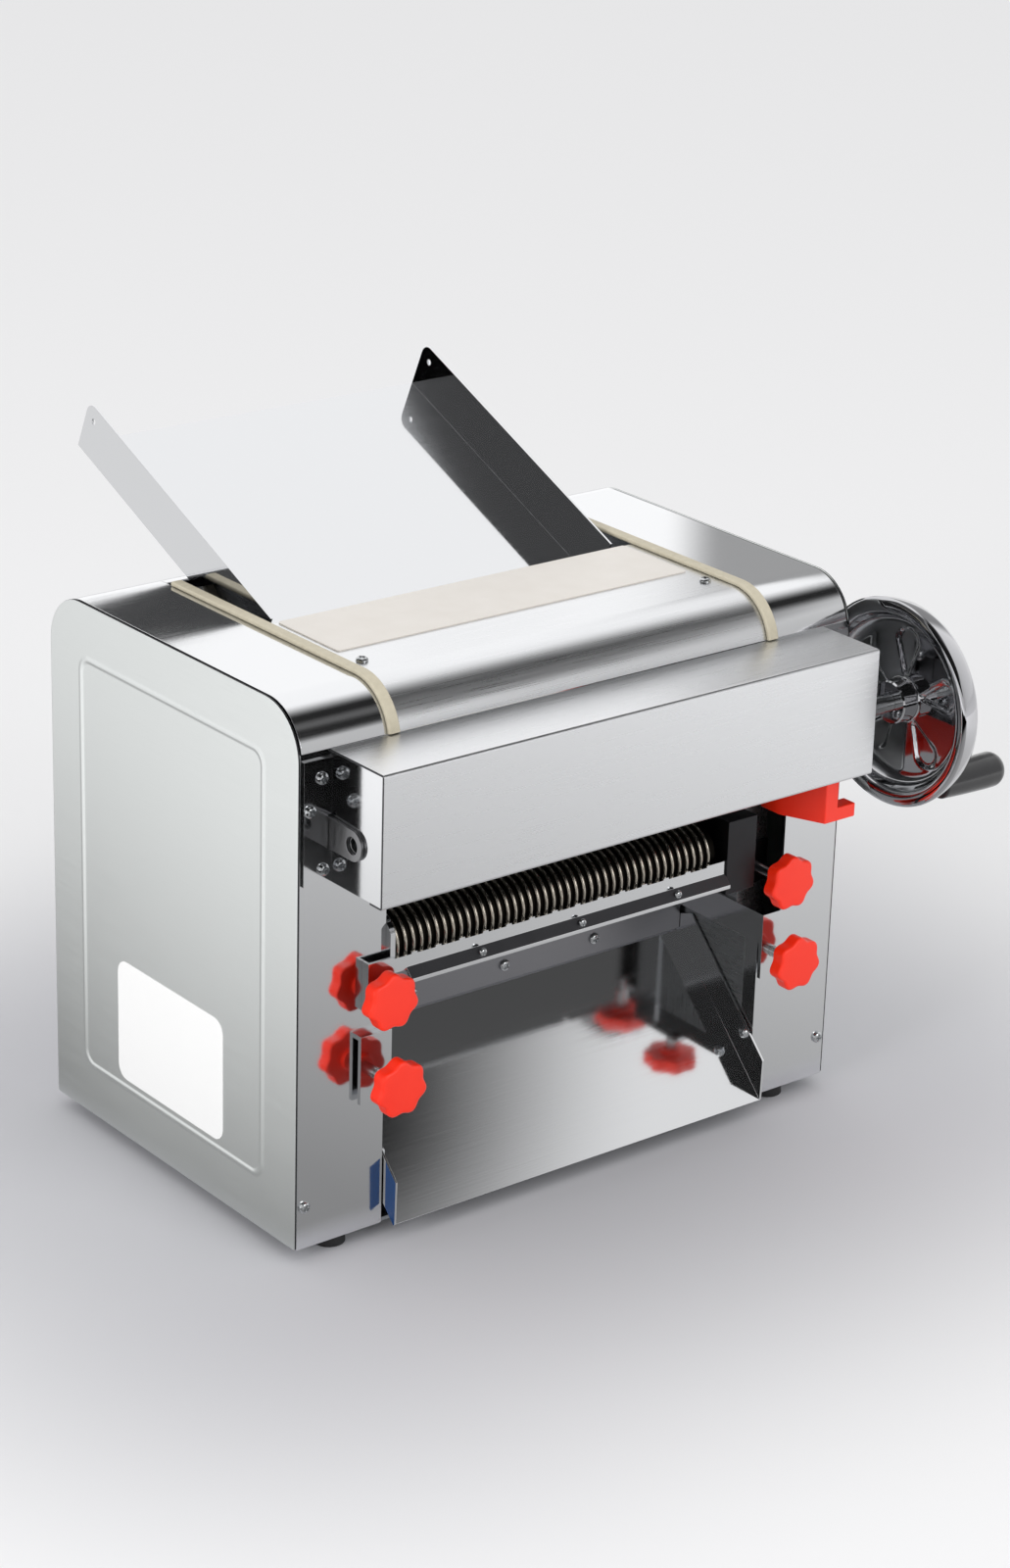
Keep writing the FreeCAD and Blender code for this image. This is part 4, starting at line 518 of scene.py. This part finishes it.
for name, body, y, z, first, axle_right, turn in (
        ("front_cutter_roller", "cutter_front", -98.5, 160.5, 0.4, 112.4, math.radians(-3)),
        ("rear_cutter_roller", "cutter_rear", -66.544, 158.825, 2.9, 115.5, math.radians(6))):
    starts = drum_left + first + ridge_pitch * np.arange(ridge_count)
    ridges = np.column_stack([(starts[:, None] + ridge_x).ravel(), np.tile(ridge_radius, ridge_count)])
    profile = np.concatenate([[(axle_left, 0), (axle_left, axle_radius), (drum_left, axle_radius),
                               (drum_left, groove_radius)], ridges,
                              [(drum_right, groove_radius), (drum_right, axle_radius),
                               (axle_right, axle_radius), (axle_right, 0)]])
    parts = [surface("roller", turned(profile, (0, y, z))),
             toothed(gear_left, gear_right, 20, 1.6, axle_radius, (0, y, z), turn)]
    if body == "cutter_rear":
        parts.append(flat_plate("tongue", (y - 5, y + 5, z - 3, z + 3), 0.4, 0, [(0, 115.4), (0, 121)]))
    roller = closed(name + "_ground", *parts)
    spots = np.empty(len(roller.vertices) * 3)
    roller.vertices.foreach_get("co", spots)
    spots = spots.reshape(-1, 3) / mm
    height = np.clip((np.hypot(spots[:, 1] - y, spots[:, 2] - z) - 14.5) / 1.6, 0, 1)
    roller.attributes.new("land", "FLOAT", "POINT").data.foreach_set("value", height.astype(np.float32))
    piece(roller, cutter_steel, "roller_steel", body, name)
rounded_copy("cutter_end_plate", 0.2, bright_steel, "plain_steel", "machine_body")
# The comb's slanting apron gets the same painted shade, for the box's hollow that it faces
rounded_copy("front_comb", 0.2, bright_steel, "plain_steel", "machine_body", dull_steel,
             lambda centre, normal: normal.z > 0.5 and normal.y < -0.5)
# Blackened casting: a dark block with dull lights, so the rollers end in shadow
blackened = oiled("blackened_case_casting", "3A3A3C", 0.4)
rounded_copy("cutter_gear_case", 0.3, blackened, "dark_casting", "machine_body")


# Cross bar and outfeed tray. The bar is folded sheet, bright at its front tabs and webs, with painted shade
# at its back plate. The tray is mirror sheet with two screwed flanges.

# Painted shade: the same sheet on the bar's back plate, greyer and softer than the bright sheet, for the
# shade it lies in
bar_steel = steel("bar_sheet_painted_shade", "8C8C90", 0.34, 0.05, (22, 1300, 1300), 0.02, 0.1)
rounded_copy("cross_bar", 0.4, bright_steel, "polished_steel", "machine_body", bar_steel,
             lambda centre, normal: centre.y > -60)
# Mirror tray: it shows the knobs and the bar. A rest of blue protective film is left on the left flange,
# where the tray lies outside film_side and in front of film_end
tray_steel = steel("mirror_stainless_tray", "EEEFF1", 0.09, 0.02, (22, 1300, 1300), 0.03)
film_side, film_end = -125.35 * mm, -114.5 * mm
tree = tray_steel.node_tree
shader = tree.nodes["Principled BSDF"]
spot = node(tree, "ShaderNodeTexCoord").outputs["Object"]
spot = node(tree, "ShaderNodeSeparateXYZ", {"Vector": spot}).outputs
outer = node(tree, "ShaderNodeMath", {0: spot["X"], 1: film_side}, operation="LESS_THAN").outputs[0]
tip = node(tree, "ShaderNodeMath", {0: spot["Y"], 1: film_end}, operation="LESS_THAN").outputs[0]
film = node(tree, "ShaderNodeMath", {0: outer, 1: tip}, operation="MULTIPLY").outputs[0]
tone = node(tree, "ShaderNodeMix", {"Factor": film, "A": hex_linear("EEEFF1"), "B": hex_linear("1D3F6E")},
            data_type="RGBA")
tree.links.new(tone.outputs["Result"], shader.inputs["Base Color"])
metal = node(tree, "ShaderNodeMath", {0: 1.0, 1: film}, operation="SUBTRACT").outputs[0]
tree.links.new(metal, shader.inputs["Metallic"])
rounded_copy("outfeed_tray", 0.25, tray_steel, "polished_steel", "machine_body")


# Star knobs. Seven-lobed knobs moulded in red nylon, each with a round hub and a steel stud that it screws
# onto.
def star_knob(x, z, face):
    """A lobed disc turned along Y: radius = mean * (1 + share * cos(7 * angle)), with the share faded out on
    the hub. The rim is a quarter circle at the front and a smaller one at the back."""
    rim = np.linspace(0, math.pi / 2, 6)
    # Each row is a mean radius, a depth behind the face and the part of the lobes that shows there
    rows = [(0, 0.0, 1), (4, 0.0, 1), (8, 0.03, 1), (11.5, 0.12, 1)]
    rows += [(14.32 - 1.7 * (1 - math.sin(a)), 0.2 + 1.7 * (1 - math.cos(a)), 1) for a in rim]
    rows += [(14.32 - 0.9 * (1 - math.cos(a)), 7.5 + 0.9 * math.sin(a), 1) for a in rim]
    rows += [(9.5, 8.4, 0.6), (7.2, 8.5, 0), (6.2, 9, 0), (6, 9.6, 0), (6, 10.5, 0), (5.6, 10.9, 0),
             (3.1, 10.9, 0), (3.1, 2.4, 0), (0, 2.4, 0)]
    radius, depth, lobes = np.array(rows).T
    angle = np.linspace(0, math.tau, 126, endpoint=False)
    r = radius[:, None] * (1 + 0.07 * lobes[:, None] * np.cos(7 * angle))
    return np.stack([x + r * np.sin(angle), np.broadcast_to(face + depth[:, None], r.shape),
                     z + r * np.cos(angle)], axis=-1)


# Moulded nylon: saturated red with a soft gloss, into which light sinks a little. The mould's real texture of
# 0.1 mm wouldn't show, so its spots are 1 mm wide
nylon = finish("red_moulded_nylon", "FA2C0C", 0.4, IOR=1.5, Subsurface_Weight=0.08, Subsurface_Scale=2 * mm)
nylon = mottled(pitted(nylon, 900.0, 2.0, 0.1), 55.0, 2.0, "F82809", "FE3010")[0]
knob_side = 133.2
for name, x, z, face in (("upper_left_knob", -knob_side, 140.2, -130.6),
                         ("upper_right_knob", knob_side, 140.2, -130.6),
                         ("lower_left_knob", -knob_side, 95.9, -138.9),
                         ("lower_right_knob", knob_side, 95.9, -138.9)):
    knob = closed(name + "_moulding", surface("knob", star_knob(x, z, face)))
    piece(knob, nylon, "red_plastic", name, name)
rounded_copy("knob_studs", 0.3, zinc_bright, "plain_steel", "machine_body")


# Red lever. The same nylon, moulded in one with its thumb foot. It swings on a steel pin between two folded
# ears.
rounded_copy("red_lever", 0.9, nylon, "red_plastic", "lever")
rounded_copy("lever_mount", 0.2, zinc_bright, "plain_steel", "machine_body")


# Drive inside the housings: an enamelled motor in a zinc-coated cradle, cast pulleys, a rubber belt, a chain
# and the shafts in bronze bearings. They can be seen only through the slots.

# Baked enamel: blue-grey and half glossy, with an orange peel 2 mm wide
enamel = pitted(finish("grey_motor_enamel", "5B6470", 0.38, IOR=1.5), 500.0, 1.0, 0.2)[0]
# Moulded rubber: black and matt, with a grey bloom in spots 3 mm wide
black_rubber = finish("black_moulded_rubber", "1B1B1C", 0.68, IOR=1.5)
black_rubber = mottled(black_rubber, 300.0, 4.0, "131314", "262628")[0]
# Sintered bronze: brown and dull with oil
bronze = oiled("sintered_bronze", "9A7444", 0.4)
dress(enamel, "motor_housing")
dress(zinc, "motor_cradle")
dress(cast_iron, "driven_pulley", "motor_shaft")
dress(black_rubber, "drive_belt")
dress(gear_steel, "drive_chain", "cutter_drive_shaft")
dress(bronze, "shaft_bearings")


# Screws. Nickel-plated pan heads with a cross recess hold the panels, the top, the cross bar and the tray.
# Three smaller ones face forwards on the comb.
def screw(place, axis, outward, radius=3.2, height=2.2, shank=1.7, depth=8.0, twist=0.3):
    """A head turned round its axis: height * (1 - 0.55 * share ** 5), sunk inside a cross of two bars."""
    ring = radius * np.array([0, 0.08, 0.16, 0.24, 0.32, 0.4, 0.48, 0.56, 0.64, 0.74, 0.84, 0.92, 0.97, 1.0])
    steps = 56
    angle = np.linspace(0, math.tau, steps, endpoint=False)
    rise = height * (1 - 0.55 * (ring / radius) ** 5)
    u, v = np.abs(ring[:, None] * np.cos(angle)), np.abs(ring[:, None] * np.sin(angle))
    bar = np.clip((0.19 * radius - np.minimum(u, v)) / (0.08 * radius), 0, 1)
    bar = bar * np.clip((0.62 * radius - np.maximum(u, v)) / (0.1 * radius), 0, 1)
    rise = rise[:, None] - 0.55 * height * bar
    rows = [(0.0, radius), (0.0, shank), (-depth, shank), (-depth, 0.0)]
    lift = outward * np.concatenate([rise, np.repeat([[row[0]] for row in rows], steps, axis=1)])
    ring = np.concatenate([ring, [row[1] for row in rows]])[:, None]
    local = np.stack([lift, ring * np.cos(angle + twist), ring * np.sin(angle + twist)], axis=-1)
    return surface("screw", np.roll(local, axis, axis=-1) + np.array(place))


# Nickel: warm white and shiny, so that each head has one small light and a dark cross
nickel = oiled("nickel_plated_screw", "C4C6C8", 0.16)
# Each screw has a place, an axis and the side that it faces
places = [((side * x, y, z), 1, -1) for side in (-1, 1) for x, y, z in (
    (167.1, -113.5, 262), (174.1, -113.5, 246), (165.9, -113.5, 214.2), (174.6, body_front, 31.4))]
places += [((x, body_back, z), 1, 1) for x in (-174, -120, 120, 174) for z in (31, 247)]
places += [((x, -70, body_top), 2, 1) for x in (-112.2, 112.2)]
places += [((x, -49.9, 97), 1, -1) for x in (-62, 0, 62)]
heads = [screw(*place, twist=0.7 * number) for number, place in enumerate(places)]
heads += [screw((side * 124.2, -107, 46), 0, -side, depth=4, twist=0.5) for side in (-1, 1)]
heads += [screw((x, -120.3, 148.5), 1, -1, radius=2.3, height=1.6, shank=1.2, depth=1.2)
          for x in (-70.9, -5.9, 59.1)]
piece(closed("pan_head_screws", *heads), nickel, "plain_steel", "machine_body", "panel_screws")


# Rear switch and cable gland. Both are moulded in black nylon and snapped or screwed into the rear panel. The
# rocker tilts on a pin in the switch.

# Moulded nylon: black with a soft gloss. Its mould's texture is drawn 1 mm wide too
black_plastic = pitted(finish("black_moulded_nylon", "19191B", 0.42, IOR=1.53), 1100.0, 1.0, 0.25)[0]
rounded_copy("switch_body", 0.3, black_plastic, "black_plastic", "machine_body")
rounded_copy("switch_rocker", 0.3, black_plastic, "black_plastic", "rocker")
rounded_copy("cable_gland", 0.4, black_plastic, "black_plastic", "machine_body")


# Feet. Black rubber buffers, moulded a little wider below, each held by a screw from inside the base plate.
foot = softened([(8, 0), (8, 7.6), (6.4, 7.8), (0, 8.5), (0, 3), (1.2, 2.6), (1.2, 0)], 0.8)
feet = [surface("foot", turned(foot, (x, y, 0), axis=2, steps=48)) for x in (-150, 150) for y in (-100, 100)]
piece(closed("rubber_buffers", *feet), black_rubber, "black_rubber", "machine_body", "rubber_feet")


# Studio: a pale floor under an even white sky, two soft lamps, and cards that only the steel sees. The cards
# are painted reflections, black or glowing grey, that cast no shadow. Nothing here belongs to the object.
def card(name, x, y, z, soft, strength=0.0):
    """A painted reflection: a flat card between two corners in mm that only glossy rays see, glowing with
    strength and faded out over soft mm at its borders. One of its sides has no depth. Returns its tree, its
    glow and its coordinates."""
    spans = np.array([x, y, z], float)
    first, second = [axis for axis in range(3) if np.ptp(spans[axis])]
    grid = np.tile(spans[:, 0], (2, 2, 1))
    grid[1, :, first] = spans[first, 1]
    grid[:, 1, second] = spans[second, 1]
    made = bpy.data.objects.new(name, surface(name, grid, ring=False))
    material = bpy.data.materials.new(name)
    material.use_nodes = True
    tree = material.node_tree
    tree.nodes.clear()
    spot = node(tree, "ShaderNodeTexCoord").outputs["Object"]
    spot = node(tree, "ShaderNodeSeparateXYZ", {"Vector": spot}).outputs
    cover = 1.0
    for axis in (first, second):
        for border, inward in ((spans[axis, 0], soft), (spans[axis, 1], -soft)):
            ramp = node(tree, "ShaderNodeMapRange", {"Value": spot[axis], "From Min": border * mm,
                                                     "From Max": (border + inward) * mm},
                        interpolation_type="SMOOTHSTEP").outputs["Result"]
            cover = node(tree, "ShaderNodeMath", {0: ramp, 1: cover}, operation="MULTIPLY").outputs[0]
    clear = node(tree, "ShaderNodeBsdfTransparent").outputs[0]
    glow = node(tree, "ShaderNodeEmission", {"Strength": strength})
    both = node(tree, "ShaderNodeMixShader", {"Fac": cover, 1: clear, 2: glow.outputs[0]}).outputs[0]
    node(tree, "ShaderNodeOutputMaterial", {"Surface": both})
    made.data.materials.append(material)
    bpy.context.scene.collection.objects.link(made)
    made.visible_camera = made.visible_diffuse = made.visible_shadow = made.visible_transmission = False
    return tree, glow, spot


def lamp(name, place, target, size, power, mirrored):
    """A square area lamp that faces its target. If mirrored is false, steel shows no picture of it."""
    data = bpy.data.lights.new(name, "AREA")
    data.shape = "SQUARE"
    data.size = size
    data.energy = power
    made = bpy.data.objects.new(name, data)
    made.location = place
    made.rotation_euler = (Vector(target) - Vector(place)).to_track_quat("-Z", "Y").to_euler()
    made.visible_glossy = mirrored
    bpy.context.scene.collection.objects.link(made)


# Floor paper: almost white and quite matt. It is greyer within 0.42 m of the body: a painted shadow of the
# body
floor_x, floor_front, floor_back = 9000, -9000, 15000
floor_grid = np.array([[(-floor_x, floor_front, 0), (floor_x, floor_front, 0)],
                       [(-floor_x, floor_back, 0), (floor_x, floor_back, 0)]], float)
floor = bpy.data.objects.new("studio_floor", surface("studio_floor", floor_grid, ring=False))
paper, tree, shader, place = finish("pale_floor_paper", "F1F1F2", 0.9, Specular_IOR_Level=0.0)
away = node(tree, "ShaderNodeVectorMath", {0: place}, operation="ABSOLUTE").outputs["Vector"]
away = node(tree, "ShaderNodeVectorMath", {0: away, 1: (0.18, 0.11, 0.0)}, operation="SUBTRACT")
away = node(tree, "ShaderNodeVectorMath", {0: away.outputs["Vector"], 1: (0.0, 0.0, 0.0)},
            operation="MAXIMUM")
away = node(tree, "ShaderNodeVectorMath", {0: away.outputs["Vector"]}, operation="LENGTH").outputs["Value"]
near = node(tree, "ShaderNodeMapRange", {"Value": away, "From Max": 0.42}, interpolation_type="SMOOTHERSTEP")
tint = node(tree, "ShaderNodeMix", {"Factor": near.outputs["Result"], "A": hex_linear("C6C6CA"),
                                    "B": hex_linear("F1F1F2")}, data_type="RGBA")
tree.links.new(tint.outputs["Result"], shader.inputs["Base Color"])
floor.data.materials.append(paper)
bpy.context.scene.collection.objects.link(floor)

# The black cards are painted dark reflections, and the grey ones are glowing painted reflections
card("black_card_above_the_curve", (-170, 430), (-265, -62), (450, 450), 90, 0.02)
card("black_card_above_the_left", (-430, 450), (-620, -50), (451, 451), 260, 0.02)
card("black_card_at_the_left", (-350, -350), (-750, 60), (320, 1000), 60)
card("dark_card_at_the_left", (-350, -350), (0, 640), (320, 1000), 60, 0.09)
card("black_card_by_the_wheel", (182, 250), (-60, -60), (120, 300), 5)
card("black_card_over_the_tray", (-122, 122), (-112, -55), (126, 126), 8, 0.07)
card("black_card_behind_the_chute", (-60, -60), (340, 480), (190, 320), 5)
card("grey_card_at_the_right", (440, 440), (-120, 340), (290, 600), 60, 0.4)
# This card is a painted reflection of the floor at the left: it brightens to the left, darker near the body
# as painted shade, and falls off behind a slanting line
tree, glow, spot = card("painted_floor_reflection_at_the_left", (-1300, -182), (-125, 1500), (1, 1), 15)
left_tone = node(tree, "ShaderNodeMapRange", {"Value": spot["X"], "From Min": -0.2, "From Max": -0.56,
                                              "To Min": 0.34, "To Max": 1.15}).outputs["Result"]
slant = node(tree, "ShaderNodeMath", {0: spot["X"], 1: 1.2837, 2: spot["Y"]}, operation="MULTIPLY_ADD")
rear_tone = node(tree, "ShaderNodeMapRange", {"Value": slant.outputs[0], "From Min": -0.2, "From Max": -0.11,
                                              "To Min": 1.0, "To Max": 0.78}).outputs["Result"]
tone = node(tree, "ShaderNodeMath", {0: left_tone, 1: rear_tone}, operation="MULTIPLY").outputs[0]
tree.links.new(tone, glow.inputs["Strength"])
# This one is a painted reflection of the floor in front: darker near the body as painted shade, it brightens
# to the right and to the front, and is black at its left end
tree, glow, spot = card("painted_floor_reflection_in_front", (-1300, 1500), (-1500, -125), (1, 1), 20)
right_tone = node(tree, "ShaderNodeMapRange", {"Value": spot["X"], "From Min": -0.116, "From Max": 0.9,
                                               "To Min": 0.3, "To Max": 0.97}).outputs["Result"]
front_tone = node(tree, "ShaderNodeMapRange", {"Value": spot["Y"], "From Min": -0.156, "From Max": -1.156,
                                               "To Min": 0.0, "To Max": 0.34}).outputs["Result"]
tone = node(tree, "ShaderNodeMath", {0: right_tone, 1: front_tone}, operation="ADD").outputs[0]
left_end = node(tree, "ShaderNodeMapRange", {"Value": spot["X"], "From Min": -0.5, "From Max": -0.2},
                interpolation_type="SMOOTHSTEP").outputs["Result"]
tone = node(tree, "ShaderNodeMath", {0: tone, 1: left_end}, operation="MULTIPLY").outputs[0]
tree.links.new(tone, glow.inputs["Strength"])

aim = (0, 0, 0.15)
lamp("front_lamp", (0.6, -3.0, 1.5), aim, 1.2, 18, True)
lamp("left_lamp", (-3.0, -0.6, 1.2), aim, 1.2, 34, False)

# The sky lights everything evenly, and steel sees it brighten from the front to the back
world = bpy.data.worlds.new("studio_sky")
bpy.context.scene.world = world
world.use_nodes = True
tree = world.node_tree
glossy = node(tree, "ShaderNodeLightPath").outputs["Is Glossy Ray"]
plain = node(tree, "ShaderNodeBackground", {"Color": hex_linear("FFFFFF"), "Strength": 0.88})
toward = node(tree, "ShaderNodeTexCoord").outputs["Generated"]
toward = node(tree, "ShaderNodeSeparateXYZ", {"Vector": toward}).outputs["Y"]
sky = node(tree, "ShaderNodeMapRange", {"Value": toward, "From Min": -0.8, "From Max": 0.2, "To Min": 0.6,
                                        "To Max": 1.18}).outputs["Result"]
mirrored = node(tree, "ShaderNodeBackground", {"Color": hex_linear("FFFFFF"), "Strength": sky})
both = node(tree, "ShaderNodeMixShader", {"Fac": glossy, 1: plain.outputs[0], 2: mirrored.outputs[0]})
tree.links.new(both.outputs[0], tree.nodes["World Output"].inputs["Surface"])

camera_place = (-1.15350, -1.48221, 0.92695)
camera_turn, camera_tilt, camera_roll = math.radians(-38.771), math.radians(90 - 21.542), math.radians(1.7076)
camera = bpy.data.cameras.new("photo_camera")
camera.lens = 86.477
camera.sensor_width = 36.0
eye = bpy.data.objects.new("photo_camera", camera)
eye.matrix_world = (Matrix.Translation(camera_place) @ Matrix.Rotation(camera_turn, 4, "Z")
                    @ Matrix.Rotation(camera_tilt, 4, "X") @ Matrix.Rotation(camera_roll, 4, "Z"))
bpy.context.scene.collection.objects.link(eye)
bpy.context.scene.camera = eye
bpy.context.scene.view_settings.view_transform = "Standard"
